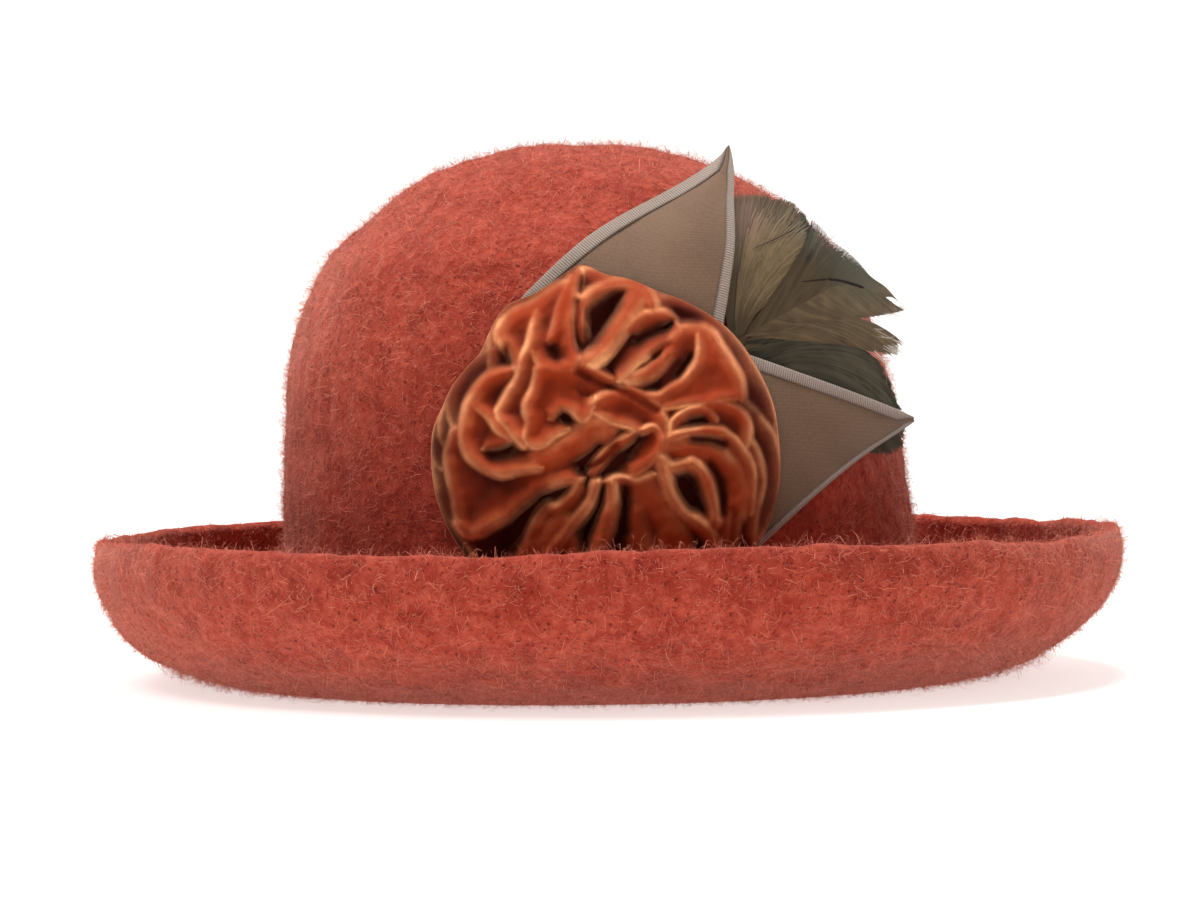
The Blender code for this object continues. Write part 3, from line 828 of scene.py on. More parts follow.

# the folds, largest forms read from the front: half width, height, the side on which the cloth runs
# on as a panel (1 left of the line, -1 right, 0 neither) and how far, how pale its crest lies at the line's
# start and end (nap and painted sheen together), and its crest as x, y, x, y and on, in hundredths of the
# rosette's radius
rosetteFolds = (
    (0.045, 0.62, 1, 0.2, 0.5, 0.5, (-21, 87, -36, 83, -46, 80, -56, 75, -61, 70, -64, 62, -64, 52, -63, 41,
        -60, 36)),
    (0.045, 0.92, 1, 0.2, 0.4, 0.9, (-21, 87, -31, 82, -42, 75, -53, 70, -58, 65, -60, 60, -56, 53, -52, 48,
        -50, 41)),
    (0.04, 0.95, 1, 0.14, 0.7, 0.8, (-38, 71, -40, 62, -42, 53, -47, 44, -48, 37, -54, 27, -58, 20, -60, 16,
        -56, 11, -53, 7, -48, 1, -46, -1)),
    (0.035, 0.88, 1, 0.16, 0.6, 0.8, (-40, 49, -37, 44, -31, 41, -24, 40, -18, 41)),
    (0.04, 1.0, -1, 0.13, 0.8, 0.8, (-14, 94, -17, 82, -19, 69, -19, 56, -17, 45, -19, 41)),
    (0.035, 0.97, 1, 0.12, 0.3, 0.2, (-19, 90, -25, 75, -28, 62, -30, 55)),
    (0.045, 0.85, -1, 0.12, 0.4, 0.4, (-12, 94, -7, 94, -1, 91, 2, 87)),
    (0.05, 0.98, 0, 0.0, 0.8, 0.4, (-13, 57, -15, 69, -14, 75, -7, 81, 1, 86, 10, 88, 19, 87, 25, 81, 27,
        76)),
    (0.08, 1.0, 0, 0.0, 0.2, 1.0, (19, 80, 13, 71, 6, 60, -1, 51, -8, 44)),
    (0.04, 0.94, -1, 0.13, 0.6, 0.5, (13, 61, 19, 67, 27, 70, 33, 70, 37, 67)),
    (0.035, 0.92, -1, 0.11, 0.7, 0.8, (39, 64, 41, 59, 36, 54, 27, 49, 18, 44, 13, 39, 7, 34)),
    (0.055, 0.88, 0, 0.0, 0.5, 1.0, (34, 47, 29, 41, 22, 36, 13, 34)),
    (0.045, 0.96, -1, 0.24, 0.7, 0.4, (34, 47, 39, 56, 45, 61, 53, 62, 59, 59, 64, 51, 70, 41, 74, 34, 75,
        24)),
    (0.035, 0.92, 1, 0.26, 0.6, 0.9, (53, 57, 53, 47, 49, 39, 43, 32, 36, 28, 30, 24, 23, 24)),
    (0.05, 0.62, -1, 0.25, 0.4, 0.4, (28, 77, 37, 78, 45, 77, 55, 72, 64, 66, 72, 58, 81, 45, 87, 34, 93, 23,
        95, 10)),
    (0.03, 0.92, 1, 0.3, 0.9, 0.5, (31, 18, 43, 20, 56, 21, 66, 23, 74, 24)),
    (0.04, 0.9, -1, 0.12, 0.5, 0.6, (52, 17, 60, 20, 68, 18, 76, 13, 79, 5, 78, -3)),
    (0.032, 0.95, -1, 0.07, 0.9, 0.7, (36, 4, 37, 10, 43, 15, 49, 17, 57, 15, 60, 11)),
    (0.04, 0.97, 0, 0.0, 1.0, 0.6, (36, 2, 45, 4, 56, 5, 64, 4)),
    (0.04, 0.88, -1, 0.16, 0.6, 0.4, (64, 4, 72, -2, 78, -10, 81, -19, 81, -29, 80, -41)),
    (0.08, 0.92, -1, 0.22, 0.2, 0.3, (39, -6, 49, -4, 61, -8, 70, -18, 74, -29, 73, -40)),
    (0.05, 1.0, 0, 0.0, 0.9, 0.5, (30, -11, 32, -21, 36, -33, 43, -41, 52, -48, 57, -54, 58, -63, 60, -82)),
    (0.05, 1.0, 0, 0.0, 0.9, 0.5, (47, -13, 53, -18, 57, -29, 60, -40, 60, -46)),
    (0.045, 0.96, 0, 0.0, 0.9, 0.9, (30, -11, 36, -15, 41, -14, 47, -13)),
    (0.13, 0.86, 0, 0.0, 0.1, 0.1, (15, -24, 23, -31, 30, -40, 35, -50, 37, -61, 43, -86)),
    (0.035, 0.95, -1, 0.1, 0.8, 0.8, (-2, -25, 6, -21, 17, -23, 25, -20)),
    (0.055, 1.0, 0, 0.0, 0.8, 0.4, (2, -25, 2, -36, -1, -46, -6, -61, -8, -95)),
    (0.045, 0.95, 0, 0.0, 1.0, 0.3, (-6, -24, -8, -31, -12, -37, -19, -45, -25, -53, -32, -61, -35, -84)),
    (0.04, 0.9, 1, 0.14, 0.8, 0.4, (-15, -23, -21, -32, -29, -37, -35, -36, -38, -41, -42, -49, -46, -58, -56,
        -78)),
    (0.042, 1.0, -1, 0.16, 0.9, 0.7, (-16, -20, -25, -21, -36, -25, -46, -33, -57, -41, -66, -46, -73, -50,
        -79, -51, -84, -46)),
    (0.045, 1.0, -1, 0.12, 0.8, 0.5, (-38, -14, -48, -15, -58, -17, -67, -14, -76, -8, -80, 1, -79, 10, -77,
        20, -72, 28, -65, 35, -53, 39)),
    (0.032, 0.93, 1, 0.12, 0.5, 0.8, (-74, 21, -66, 15, -60, 7, -54, 2)),
    (0.032, 0.93, -1, 0.1, 0.7, 0.7, (-54, 2, -61, -2, -68, -3)),
    (0.04, 0.96, 1, 0.2, 0.4, 0.9, (-37, 39, -40, 28, -44, 20, -42, 10, -44, 1, -40, -2, -35, -1, -31, 3, -23,
        7)),
    (0.032, 0.97, 1, 0.26, 0.9, 1.0, (-31, 14, -25, 20, -19, 18, -13, 12, -9, 17, -7, 23)),
    (0.045, 0.95, -1, 0.2, 0.3, 0.2, (-37, 39, -28, 41, -18, 40, -7, 37, 2, 32)),
    (0.045, 1.0, -1, 0.12, 0.5, 0.3, (-7, 20, 1, 25, 10, 27, 18, 24, 27, 18, 32, 8, 31, -2, 24, -10, 14,
        -18)),
    (0.03, 0.97, 1, 0.15, 0.8, 0.9, (-7, 17, 3, 11, 13, 8, 19, 5)),
    (0.032, 0.96, 0, 0.0, 0.8, 0.5, (19, 5, 26, 7, 30, 1, 29, -5, 22, -11, 14, -15)),
    (0.04, 0.92, 0, 0.0, 0.3, 0.8, (-8, -16, -1, -8, 7, -1, 15, 3)),
    (0.1, 0.93, 0, 0.0, 0.1, 0.4, (-36, -10, -27, -6, -16, 1, -8, 7, -1, 8)),
    (0.035, 0.45, 1, 0.1, 0.5, 0.5, (-96, 18, -98, 7, -98, -3, -95, -14, -90, -14)),
    (0.035, 0.55, 1, 0.1, 0.5, 0.5, (-89, 24, -93, 13, -93, 3, -88, -4)),
    (0.045, 0.62, 1, 0.22, 0.3, 0.5, (-63, 50, -74, 46, -83, 38, -88, 28, -88, 18, -85, 10, -82, 6)),
    (0.04, 0.5, 1, 0.12, 0.4, 0.4, (-97, -15, -95, -27, -91, -40, -84, -49, -75, -62)),
    (0.04, 0.78, 1, 0.32, 0.5, 0.5, (-85, 6, -89, -6, -88, -19, -85, -31, -84, -41, -79, -51)),
    (0.045, 0.6, -1, 0.15, 0.4, 0.4, (79, 18, 87, 10, 95, -3, 98, -16, 94, -35, 85, -54)),
    (0.04, 0.72, -1, 0.12, 0.4, 0.4, (80, -2, 85, -12, 87, -24, 83, -41, 81, -58)),
    (0.04, 0.7, -1, 0.1, 0.4, 0.4, (73, -35, 72, -46, 70, -61, 70, -73)),
    (0.04, 0.78, -1, 0.1, 0.4, 0.4, (63, -20, 67, -33, 66, -48, 64, -61)),
    (0.06, 0.8, 0, 0.0, 0.3, 0.3, (-46, -58, -52, -66, -56, -78)),
    (0.06, 0.85, 0, 0.0, 0.3, 0.3, (-20, -56, -21, -73, -21, -95)),
    (0.1, 0.86, 0, 0.0, 0.2, 0.2, (15, -42, 18, -60, 20, -96)),
    (0.09, 0.84, 0, 0.0, 0.2, 0.1, (-25, -44, -37, -61, -42, -80)),
)

# creases and hollows between the folds: half width, depth and line, in the same places
rosetteHollows = (
    (0.05, 0.55, (5, 75, -2, 66, -8, 56)),
    (0.016, 0.45, (-15, 77, -16, 62, -15, 49)),
    (0.014, 0.45, (-13, 91, -14, 83)),
    (0.022, 0.45, (-56, 51, -54, 44)),
    (0.024, 0.35, (-30, 52, -27, 44)),
    (0.018, 0.4, (37, 64, 27, 60, 18, 55)),
    (0.016, 0.35, (35, 52, 27, 46)),
    (0.016, 0.45, (47, 45, 40, 36)),
    (0.03, 0.25, (40, 70, 52, 66)),
    (0.016, 0.5, (48, 0, 58, -1, 65, -3)),
    (0.034, 0.7, (42, -25, 47, -36)),
    (0.018, 0.4, (57, -14, 63, -24, 64, -42)),
    (0.02, 0.5, (10, -26, 9, -50)),
    (0.016, 0.45, (-2, -25, -5, -37, -14, -54)),
    (0.05, 0.55, (-36, -31, -46, -42, -54, -57)),
    (0.035, 0.55, (-55, -5, -64, -7)),
    (0.016, 0.4, (-15, 38, 1, 30, 14, 25, 28, 17)),
    (0.014, 0.45, (18, 2, 12, -7)),
    (0.014, 0.4, (-15, -17, -2, -10, 5, -3)),
    (0.016, 0.4, (47, 10, 53, 11)),
)


def crestLine(places):
    # a smooth curve through places given in hundredths, in rosette radii
    line = np.reshape(places, (-1, 2)) / 100 * rosette["seen"] + (0, rosette["raise"])
    keys = runAlong(line)
    return smoothRead(keys, line, np.linspace(0, keys[-1], rosette["steps"]))


def besideLine(line, x, y):
    # least distance to a line's straight pieces, the side (1 left, -1 right) and the share along the line
    nearest, side, along = np.full(x.shape, 9.0), np.ones(x.shape), np.zeros(x.shape)
    for number, (a, step) in enumerate(zip(line[:-1], np.diff(line, axis=0))):
        t = np.clip(((x - a[0]) * step[0] + (y - a[1]) * step[1]) / max(step @ step, 1e-12), 0, 1)
        awayX, awayY = x - a[0] - t * step[0], y - a[1] - t * step[1]
        away = np.hypot(awayX, awayY)
        closer = away < nearest
        nearest = np.where(closer, away, nearest)
        side = np.where(closer, np.sign(step[0] * awayY - step[1] * awayX), side)
        along = np.where(closer, (number + t) / (len(line) - 1), along)
    return nearest, side, along


def foldProfile(half, facing, reach, away, side, along):
    # a round crest; a wide fold is flatter, and a fold with a panel slopes off slowly on that side, over a
    # reach that narrows towards the line's ends
    ridge = np.clip(1 - (away / (rosette["skirt"] * half)) ** 2, 0, 1) ** rosette["roundness"]
    if facing == 0 and half < rosette["wideFold"]:
        return ridge
    if facing == 0:
        return np.clip(1 - (away / half) ** 2, 0, 1) ** rosette["wideRoundness"]
    width = half + reach * np.sin(math.pi * np.clip(along, 0, 1)) ** rosette["panelEnds"]
    slope = np.clip(1 - away / width, 0, 1) ** rosette["panelCurve"]
    panel = rosette["rimStep"] + (1 - rosette["rimStep"]) * ridge
    panel *= rosette["panelFoot"] + (1 - rosette["panelFoot"]) * slope
    edge = np.clip(1 - (away - width) / rosette["panelEdge"], 0, 1)
    return np.where(side * facing > 0, panel * np.sqrt(edge), ridge)


def foldField(x, y):
    # the folds join as the p-norm of their heights, less the hollows; pale along the crests, partly the nap and
    # partly painted sheen where the folds turn away
    power = rosette["parting"]
    floor = rosette["floor"] * (1 + np.clip(np.hypot(x, y) - 0.75, 0, 0.25))
    total, pale = floor**power, np.zeros(x.shape)
    for half, height, facing, reach, paleStart, paleEnd, places in rosetteFolds:
        away, side, along = besideLine(crestLine(places), x, y)
        weight = (height * foldProfile(half, facing, reach, away, side, along)) ** power
        steep = np.where(side * facing > 0, -1, 1)
        line = steep * away / half - rosette["rimShift"]
        bright = np.exp(-((line / rosette["rimPale"]) ** 2))
        # painted sheen: on a round fold the left-hand line is paler than the right-hand one
        if facing == 0:
            bright *= np.where(side > 0, 1.0, rosette["farRim"])
        bright += rosette["crestPale"] * np.exp(-((away / half) ** 2))
        pale += weight * (paleStart + (paleEnd - paleStart) * along) * bright
        total += weight
    height = total ** (1 / power)
    pale /= total
    place = np.stack([x, y, 0 * x], axis=-1)
    pale *= 1 - rosette["paleUnevenness"] * np.clip(0.5 + softNoise(place, 0.28, 71), 0, 1)
    for size, depth in rosette["ripples"]:
        height += depth * softNoise(place, size, 61)
    for half, depth, places in rosetteHollows:
        away = besideLine(crestLine(places), x, y)[0]
        hollow = np.exp(-((away / (rosette["hollowWidth"] + half)) ** 2))
        height -= depth * rosette["hollowDepth"] * hollow
        pale *= 1 - hollow
    for turn in range(rosette["soften"]):
        height[1:-1] = (height[:-2] + 2 * height[1:-1] + height[2:]) / 4
        height = (np.roll(height, 1, axis=1) + 2 * height + np.roll(height, -1, axis=1)) / 4
    return np.clip(height, 0, None), pale


def rosettePlace(share, angle, lift, out):
    # a share of the outline at an angle, seen from the front, laid on the crown and pushed out by out
    reach = radius * share * smoothTurn(rosetteOutline, np.degrees(angle))
    bearing, run = wallPlace(reach * np.cos(angle), rosetteHeight + reach * np.sin(angle))
    place = onCrown(bearing, run, lift)
    place[..., 1] -= out
    return place


def makeRosette(material):
    # front: rings of a dome with the folds on it; back: a few rings, hollowed for the ribbons and plumes
    angle = np.linspace(0, 2 * math.pi, rosette["around"], endpoint=False)
    seam = rosette["hollowSeam"]
    degrees = (np.degrees(angle) - seam) % 360 + seam
    hollowed = smoothStep(*rosette["hollowBegins"], degrees)
    hollowed = hollowed * (1 - smoothStep(*rosette["hollowEnds"], degrees))
    shares = np.linspace(0, 1, rosette["rings"] + 1)[:, None]
    outline = shares * smoothTurn(rosetteOutline, degrees)
    height, pale = foldField(outline * np.cos(angle), outline * np.sin(angle))
    fade = 1 - rosette["fadeShare"] * smoothStep(rosette["fadeStart"], 1.0, shares)
    dome = (trim["centreDepth"] - trim["edgeDepth"]) * (1 - shares**2) ** rosette["domePower"]
    out = trim["edgeDepth"] + dome + rosette["foldDepth"] * (height - rosette["foldLevel"]) * fade
    rings = [rosettePlace(share[0], angle, 0.0, row) for share, row in zip(shares[1:], out[1:])]
    for share in np.linspace(rosette["backEdge"], 0, rosette["backRings"] + 1)[:-1]:
        hollow = (rosetteLift - trim["gap"]) * hollowed * smoothStep(*rosette["hollowShares"], share)
        rings.append(rosettePlace(share, angle, trim["gap"] + hollow, 0.0))
    grid = np.array(rings)
    first = rosettePlace(0.0, angle, 0.0, out[0]).mean(axis=0)
    last = rosettePlace(0.0, angle, trim["gap"], 0.0).mean(axis=0)
    backValue = np.zeros(rosette["backRings"] * rosette["around"])
    values = {
        key: np.concatenate([field[1:].ravel(), backValue, [field[0, 0], 0]])
        for key, field in (("foldHeight", height), ("napAndSheenPale", pale))
    }
    piece = closedSurface("velvetRosette", grid, first, last, material, values)
    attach(piece, "root")
    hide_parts("velvet_rosette")


makeRosette(makeVelvetMaterial())
print("velvet rosette")

# Folded ribbon points

ribbon = {
    "rows": 150,
    "fieldColumns": 40,
    "bandColumns": 8,
    "bandRise": 0.4 * mm,
    "bandMost": 0.40,
    "underBand": 0.6,  # how far the field runs on under a band, as a share of the band
    "tipWidth": 1.6 * mm,
    "grooveWidth": 0.5 * mm,
    "puff": 0.15 * mm,  # the field's own unevenness, and its size
    "puffSize": 22 * mm,
    "points": (
        {
            "name": "upperRibbon",
            "node": "ribbon_point_upper",
            "lift": upperRibbonLift,
            "left": (122.0, 0.93),  # corners and tip: direction in degrees and distance in rosette radii
            "right": (36.0, 0.84),
            "tip": (53.3, 2.08),
            "rise": 4.6 * mm,  # of the tip
            "leftLift": 0.15,  # share of the lift along the left edge
            "bows": (12 * mm, -3 * mm),  # of the left and the right edge
            "bands": (4.2 * mm, 4.2 * mm),  # their widths
        },
        {
            "name": "sideRibbon",
            "node": "ribbon_point_side",
            "lift": sideRibbonLift,
            "left": (48.0, 0.80),
            "right": (-50.0, 0.93),
            "tip": (3.0, 2.16),
            "rise": 0.0,
            "leftLift": 1.0,
            "bows": (-1 * mm, -6 * mm),
            "bands": (4.2 * mm, 2.7 * mm),
        },
    ),
}


def ribbonLayers(point, across, along, thickness, puff=0.0):
    # flat places, back and front: lines across the point from edge to edge, narrowing to the tip, with bowed
    # edges; it settles along its left edge, stands off past the rosette and rises to the tip
    left, right, tip = (flatPlace(*point[key]) for key in ("left", "right", "tip"))
    along = along + 0 * across
    width = np.linalg.norm(right - left) * (1 - along) + ribbon["tipWidth"] * along
    leftBow, rightBow = point["bows"]
    bow = np.where(across < 0.5, -leftBow, rightBow) * np.abs(2 * across - 1)
    offset = (across - 0.5) * width + bow * np.sin(math.pi * along)
    middle = (left + right) / 2 * (1 - along[..., None]) + tip * along[..., None]
    flat = middle + offset[..., None] * unit(right - left)
    settled = point["leftLift"] + (1 - point["leftLift"]) * smoothStep(0, 0.5, across)
    lift = point["lift"] * settled + standOff(flat) + point["rise"] * along**2
    thickness = thickness + puff * softNoise(np.dstack([flat, 0 * along]), ribbon["puffSize"], 21)
    return flat, onTrimming(flat, lift), onTrimming(flat, lift + thickness)


def makeRibbonPoint(point, fieldMaterial, bandMaterial):
    left, right, tip = (flatPlace(*point[key]) for key in ("left", "right", "tip"))
    along = np.linspace(0, 1, ribbon["rows"])[:, None]
    width = np.linalg.norm(right - left) * (1 - along) + ribbon["tipWidth"] * along
    shares = [np.minimum(band / width, ribbon["bandMost"]) for band in point["bands"]]
    under = [ribbon["underBand"] * share for share in shares]
    across = under[0] + (1 - under[0] - under[1]) * np.linspace(0, 1, ribbon["fieldColumns"])
    flat, back, front = ribbonLayers(point, across, along, trim["ribbonWall"], ribbon["puff"])
    field = sheetSurface(point["name"] + "Field", back, front, flat, fieldMaterial)
    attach(field, "root")
    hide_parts(point["node"])
    t = np.linspace(0, 1, ribbon["bandColumns"])[None, :]
    crowned = trim["ribbonWall"] + ribbon["bandRise"] * (0.55 + 0.45 * np.sin(math.pi * t))
    for side, share in enumerate(shares):
        across = share * t if side == 0 else 1 - share * (1 - t)
        back, front = ribbonLayers(point, across, along, crowned)[1:]
        edge = front[:, 0]
        ahead = ((front - front[:, :1]) * unit(np.gradient(edge, axis=0))[:, None]).sum(-1)
        uv = np.stack([runAlong(edge)[:, None] + ahead, across * width], axis=-1)  # ribs square to the band
        fromField = (1 - t if side == 0 else t) * share * width
        # painted shade, darkest at the band's edge against the field
        grooveShade = np.exp(-((fromField / ribbon["grooveWidth"]) ** 2))
        bandName = f"{point['name']}Band{side + 1}"
        band = sheetSurface(bandName, back, front, uv, bandMaterial, {"grooveShade": grooveShade})
        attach(band, "root")


# Feathers

barbs = {
    "stations": 9,
    "overlap": 2.0,
    "halfWidth": (0.07 * mm, 0.45 * mm),
    "narrowing": 0.6,
    "camber": 0.30 * mm,
    "tilt": 0.05 * mm,  # each barb's one edge stands over its neighbour
    "unevenLift": 0.03 * mm,
    "strandTone": 0.06,
    "clumpTone": 0.10,
    "streakTone": 0.10,
    "streakSize": 5 * mm,
}

# each vane of barbs: the line that they grow from and the line that they end on, as x, y, x, y and on in
# hundredths of the rosette's radius, their bow to the left, number, lift, tone, raggedness and seed
lightVanes = (
    ((79, 56, 84, 50), (119, 146, 144, 144, 167, 138, 176, 134, 176, 126, 182, 118, 193, 106, 203, 99, 210,
        91, 226, 83, 234, 76, 209, 72, 186, 70, 179, 62, 184, 51, 158, 52, 124, 54, 94, 57), 0.06, 900,
        0.15 * mm, 0.42, 0.01, 31),
    ((80, 58, 86, 58, 92, 60), (114, 147, 132, 147, 146, 146, 160, 143, 169, 140, 178, 136, 179, 129, 174,
        120), 0.1, 620, 0.55 * mm, 0.5, 0.012, 32),
    ((84, 60, 90, 62), (128, 128, 140, 124, 150, 116, 160, 108, 166, 98), 0.12, 300, 0.85 * mm, 0.56, 0.1,
        33),
    ((90, 60, 135, 77, 173, 87, 200, 85, 225, 80), (172, 118, 182, 123, 185, 117, 186, 112, 195, 107, 205,
        100, 213, 92, 232, 84, 244, 77), 0.05, 620, 1 * mm, 0.46, 0.007, 34),
    ((90, 60, 135, 78, 173, 88, 200, 85, 225, 80), (128, 66, 161, 68, 188, 69, 215, 70, 252, 72), -0.05, 620,
        0.95 * mm, 0.44, 0.02, 35),
    ((88, 57, 124, 68, 159, 72), (126, 57, 169, 53, 194, 49, 220, 49, 229, 54), 0.05, 460, 0.75 * mm, 0.4,
        0.03, 36),
)
darkVanes = (
    ((88, 53, 86, 34), (100, 60, 114, 60, 152, 59, 169, 55, 180, 50, 196, 43, 203, 33, 208, 24, 210, 16, 211,
        6, 207, -3, 193, -7, 174, -8), 0.14, 900, 0.15 * mm, 0.42, 0.015, 41),
    ((92, 52, 124, 50, 150, 42), (150, 56, 170, 52, 188, 42, 199, 28, 206, 12), 0.06, 380, 0.45 * mm, 0.52,
        0.04, 42),
)

# spots of colour on the feathers: x and y in hundredths of the rosette's radius and size
featherSpots = {
    "pink": ((124, 137, 15), (112, 128, 12)),
    "green": ((188, 103, 22), (172, 116, 14), (205, 92, 14)),
    "ink": (
        (179, 127, 3.2), (174, 121, 2.8), (168, 117, 2.0), (163, 113, 1.3), (155, 104, 1.8), (152, 99, 1.2),
        (117, 124, 1.8), (165, 57, 2.2),
    ),
}

marks = {
    "sides": 8,
    "steps": 24,
    "taper": 0.08,  # share of a mark's length over which an end closes
    "flatness": 0.7,
    "lift": 1.45 * mm,
}

# dark quills and marks: line in the same places, and radii at its start and end
lightMarks = (
    ((140, 90, 164, 91), 0.1 * mm, 0.3 * mm),
    ((164, 91, 174, 90, 200, 85), 0.45 * mm, 0.4 * mm),
    ((109, 109, 132, 114, 156, 119), 0.08 * mm, 0.14 * mm),
)

hairs = {
    "width": 0.16 * mm,
    "narrowing": 0.75,
    "steps": 10,
    "twins": 7,
    "spread": (1.6, 5),  # of a hair's root and of its tip, in hundredths of the radius
    "lift": 0.9 * mm,
    "tipLift": (-0.5 * mm, 1.2 * mm),
}

# pale hairs at the tips: lines in the same places
featherHairs = (
    (213, 73, 228, 67, 234, 57, 235, 48),
    (222, 73, 240, 69, 249, 60, 249, 50),
    (236, 73, 256, 69, 262, 60, 256, 50),
    (246, 74, 264, 72, 272, 64),
    (206, 52, 217, 47, 222, 37),
    (194, 48, 205, 40, 209, 27),
    (212, 50, 225, 45, 228, 36),
    (222, 53, 234, 49, 238, 41),
    (196, 60, 212, 56, 224, 56),
)


def flatLine(places, share):
    # the smooth curve through places in hundredths of the radius, read at shares of its length
    line = np.reshape(places, (-1, 2)) / 100 * radius
    keys = runAlong(line)
    return smoothRead(keys, line, share * keys[-1])


def spotShare(flat, spots):
    # 1 on a spot, falling off as a bell
    share = np.zeros(flat.shape[:-1])
    for x, y, size in spots:
        gap = np.hypot(flat[..., 0] / radius * 100 - x, flat[..., 1] / radius * 100 - y)
        share = np.maximum(share, np.exp(-((gap / size) ** 2)))
    return share


def barbStrips(vane):
    # barbs from the grown line to the end line, bowed as a parabola, wide enough to overlap their neighbours
    grown, ends, bow, count, layer, tone, ragged, seed = vane
    chance = np.random.default_rng(seed)
    share = np.sort((np.arange(count) + chance.uniform(0, 1, count)) / count)
    t = np.linspace(0, 1, barbs["stations"])[:, None]
    start, end = flatLine(grown, share)[:, None], flatLine(ends, share)[:, None]
    longer = chance.normal(0, ragged, count) - ragged * chance.random(count) ** 3 * 3
    chord = (end - start) * (1 + longer)[:, None, None]
    centre = start + chord * t + leftOf(chord) * bow * 4 * t * (1 - t)
    across = leftOf(unit(np.gradient(centre, axis=1)))
    gap = np.abs((np.gradient(centre, axis=0) * across).sum(-1))
    half = np.clip(gap * barbs["overlap"] / 2, *barbs["halfWidth"]) * (1 - barbs["narrowing"] * t[:, 0] ** 4)
    clump = softNoise(np.outer(share * 30, (1, 0, 0)), 1.6, seed, 14)
    strand = tone + barbs["clumpTone"] * clump + chance.normal(0, barbs["strandTone"], count)
    lift = layer + barbs["camber"] * np.sin(math.pi * t[:, 0])
    lift = lift + chance.normal(0, barbs["unevenLift"], (count, 1))
    edges = [(centre + side * half[..., None] * across, lift + side * barbs["tilt"]) for side in (1, -1)]
    streak = barbs["streakTone"] * softNoise(np.dstack([centre, 0 * gap]), barbs["streakSize"], seed + 7)
    return edges, np.clip(strand[:, None] + streak, 0.02, 1)


def onPlume(flat, lift):
    return onTrimming(flat, trim["gap"] + lift + standOff(flat))


def makePlume(name, node, vanes, material):
    # every barb strip of every vane, joined in one mesh
    points, tones, flats = [], [], []
    for vane in vanes:
        edges, tone = barbStrips(vane)
        points.append(np.stack([onPlume(flat, lift) for flat, lift in edges], axis=2).reshape(-1, 3))
        flats.append(np.stack([flat for flat, lift in edges], axis=2).reshape(-1, 2))
        tones.append(np.repeat(tone.ravel(), 2))
    points, flat = np.concatenate(points), np.concatenate(flats)
    faces = stripFaces(len(points) // (2 * barbs["stations"]), barbs["stations"])
    values = {"tone": np.concatenate(tones)}
    values.update({key: spotShare(flat, spots) for key, spots in featherSpots.items()})
    piece = meshObject(name, points, [faces], material, values)
    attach(piece, "root")
    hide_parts(node)


def makeMarks(name, material):
    # slightly flattened tubes along the marks' lines, nearly closed at both ends
    sides, steps = marks["sides"], marks["steps"]
    turn = np.linspace(0, 2 * math.pi, sides, endpoint=False)
    s = np.linspace(0, 1, steps)
    points, faces = [], []
    for number, (places, first, last) in enumerate(lightMarks):
        flat = flatLine(places, s)
        across = leftOf(unit(np.gradient(flat, axis=0)))
        half = (first + (last - first) * s) * np.clip(np.minimum(s, 1 - s) / marks["taper"], 0.05, 1)
        ring = flat[:, None] + (half[:, None] * np.cos(turn))[..., None] * across[:, None]
        lift = marks["lift"] + half[:, None] * np.sin(turn) * marks["flatness"]
        points.append(onPlume(ring, lift).reshape(-1, 3))
        faces.append(gridFaces(steps, sides, closed=True, start=number * steps * sides))
    piece = meshObject(name, np.concatenate(points), faces, material)
    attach(piece, "root")


def makeHairs(name, material):
    # tapered strips along each hair's line and a few twins moved at random
    chance = np.random.default_rng(51)
    t = np.linspace(0, 1, hairs["steps"])
    half = hairs["width"] / 2 * (1 - hairs["narrowing"] * t)[:, None]
    rootSpread, tipSpread = hairs["spread"]
    strips = []
    for places in featherHairs:
        line = np.reshape(places, (-1, 2))
        for twin in range(hairs["twins"]):
            moved = line + chance.normal(0, rootSpread, 2)
            moved += np.outer(np.linspace(0, 1, len(line)), chance.normal(0, tipSpread, 2))
            flat = flatLine(moved, t)
            across = leftOf(unit(np.gradient(flat, axis=0)))
            lift = hairs["lift"] + chance.uniform(*hairs["tipLift"]) * t
            strips.append(np.stack([onPlume(flat + side * half * across, lift) for side in (1, -1)], axis=1))
    faces = stripFaces(len(strips), hairs["steps"])
    piece = meshObject(name, np.reshape(strips, (-1, 3)), [faces], material)
    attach(piece, "root")


featherColours = {
    "lightRoot": srgb(82, 67, 49),
    "lightBlade": srgb(120, 100, 72),
    "pink": srgb(138, 108, 94),
    "green": srgb(98, 100, 84),
    "ink": srgb(30, 24, 18),
    "darkRoot": srgb(48, 44, 34),
    "darkBlade": srgb(86, 78, 60),
    "hair": srgb(214, 204, 192),
}

lightMaterial = makeFeatherMaterial("featherLight", featherColours["lightRoot"], featherColours["lightBlade"])
darkMaterial = makeFeatherMaterial("featherDark", featherColours["darkRoot"], featherColours["darkBlade"])
inkMaterial = plainMaterial("featherInk", featherColours["ink"], 0.6)
hairMaterial = plainMaterial("featherHair", featherColours["hair"], 0.6)
makePlume("lightPlume", "plume_light", lightVanes, lightMaterial)
makePlume("darkPlume", "plume_dark", darkVanes, darkMaterial)
makeMarks("featherMarks", inkMaterial)
makeHairs("featherHairs", hairMaterial)
print("plumes")

fieldMaterial = makeRibbonMaterial()
bandMaterial = makeBandMaterial()
for ribbonPoint in ribbon["points"]:
    makeRibbonPoint(ribbonPoint, fieldMaterial, bandMaterial)
print("ribbon points")

# Studio

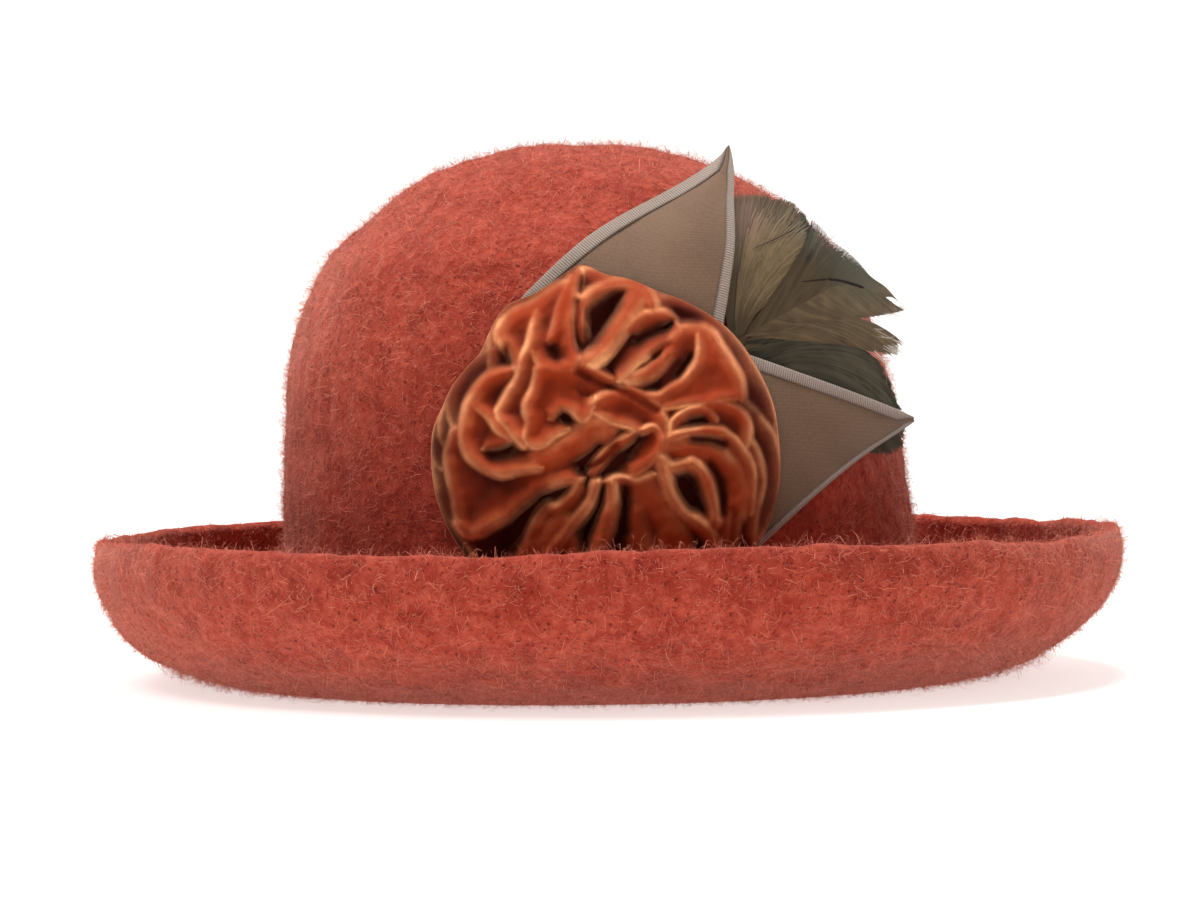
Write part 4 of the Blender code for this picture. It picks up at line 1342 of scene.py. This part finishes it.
studio = {
    "sweepFront": -4.0,
    "sweepBack": 2.0,
    "sweepRadius": 0.7,
    "sweepTop": 3.0,
    "halfWidth": 5.0,
    "worldLight": 0.32,
    "sweepGlow": 0.62,  # keeps the backdrop white while the hat is lit softly
    "sweepSteps": 24,
    "sweepColumns": 9,
    "white": (1.0, 0.985, 0.965, 1),
    "sweepColour": (0.8, 0.79, 0.775, 1),
    "lightTarget": (0, 0, 0.08),
    "lights": (
        # name, place, size, watts
        ("keyLight", (-0.75, -0.65, 1.5), 0.7, 10.5),
        ("fillLight", (1.2, -1.2, 0.7), 1.2, 2.5),
        ("topLight", (-0.1, 0.0, 1.6), 0.8, 32),
    ),
}


def makeSweep():
    # a floor that turns up into a wall along a quarter round
    turn = np.linspace(0, math.pi / 2, studio["sweepSteps"])
    back, bend = studio["sweepBack"], studio["sweepRadius"]
    y = np.concatenate([[studio["sweepFront"]], back + bend * np.sin(turn), [back + bend]])
    z = np.concatenate([[0], bend * (1 - np.cos(turn)), [studio["sweepTop"]]])
    x = np.linspace(-studio["halfWidth"], studio["halfWidth"], studio["sweepColumns"])[:, None]
    grid = np.stack(np.broadcast_arrays(x, y, z), axis=-1)
    material = plainMaterial("paleSweep", studio["sweepColour"], 0.9)
    shader = material.node_tree.nodes["Principled BSDF"]
    shader.inputs["Emission Color"].default_value = studio["white"]
    shader.inputs["Emission Strength"].default_value = studio["sweepGlow"]
    sweep = meshObject("studioSweep", grid.reshape(-1, 3), [gridFaces(*grid.shape[:2])], material)


def addLight(name, place, size, watts):
    data = bpy.data.lights.new(name, "AREA")
    data.shape = "DISK"
    data.size = size
    data.energy = watts
    lamp = bpy.data.objects.new(name, data)
    aim = Vector(studio["lightTarget"]) - Vector(place)
    lamp.rotation_euler = aim.to_track_quat("-Z", "Y").to_euler()
    lamp.location = place
    bpy.context.scene.collection.objects.link(lamp)


camera = {
    "place": (0.0, -1.0, 0.0880),
    "lens": 91.8,  # millimetres on a 36 mm sensor
    "yaw": 0.13,  # degrees towards the front of the hat
    "pitch": -0.824,
    "roll": -0.74,
}


def makeCamera():
    data = bpy.data.cameras.new("photoCamera")
    data.lens = camera["lens"]
    data.sensor_width = 36
    view = bpy.data.objects.new("photoCamera", data)
    turn = Matrix()
    for axis, degrees in (("Z", camera["yaw"]), ("X", 90 + camera["pitch"]), ("Z", camera["roll"])):
        turn = turn @ Matrix.Rotation(math.radians(degrees), 4, axis)
    view.matrix_world = Matrix.Translation(camera["place"]) @ turn
    bpy.context.scene.collection.objects.link(view)
    bpy.context.scene.camera = view


makeSweep()
for lightRow in studio["lights"]:
    addLight(*lightRow)
world = bpy.data.worlds.new("studioWorld")
world.use_nodes = True
background = world.node_tree.nodes["Background"].inputs
background[0].default_value, background[1].default_value = studio["white"], studio["worldLight"]
bpy.context.scene.world = world
bpy.context.scene.view_settings.view_transform = "Standard"
makeCamera()
print("studio")
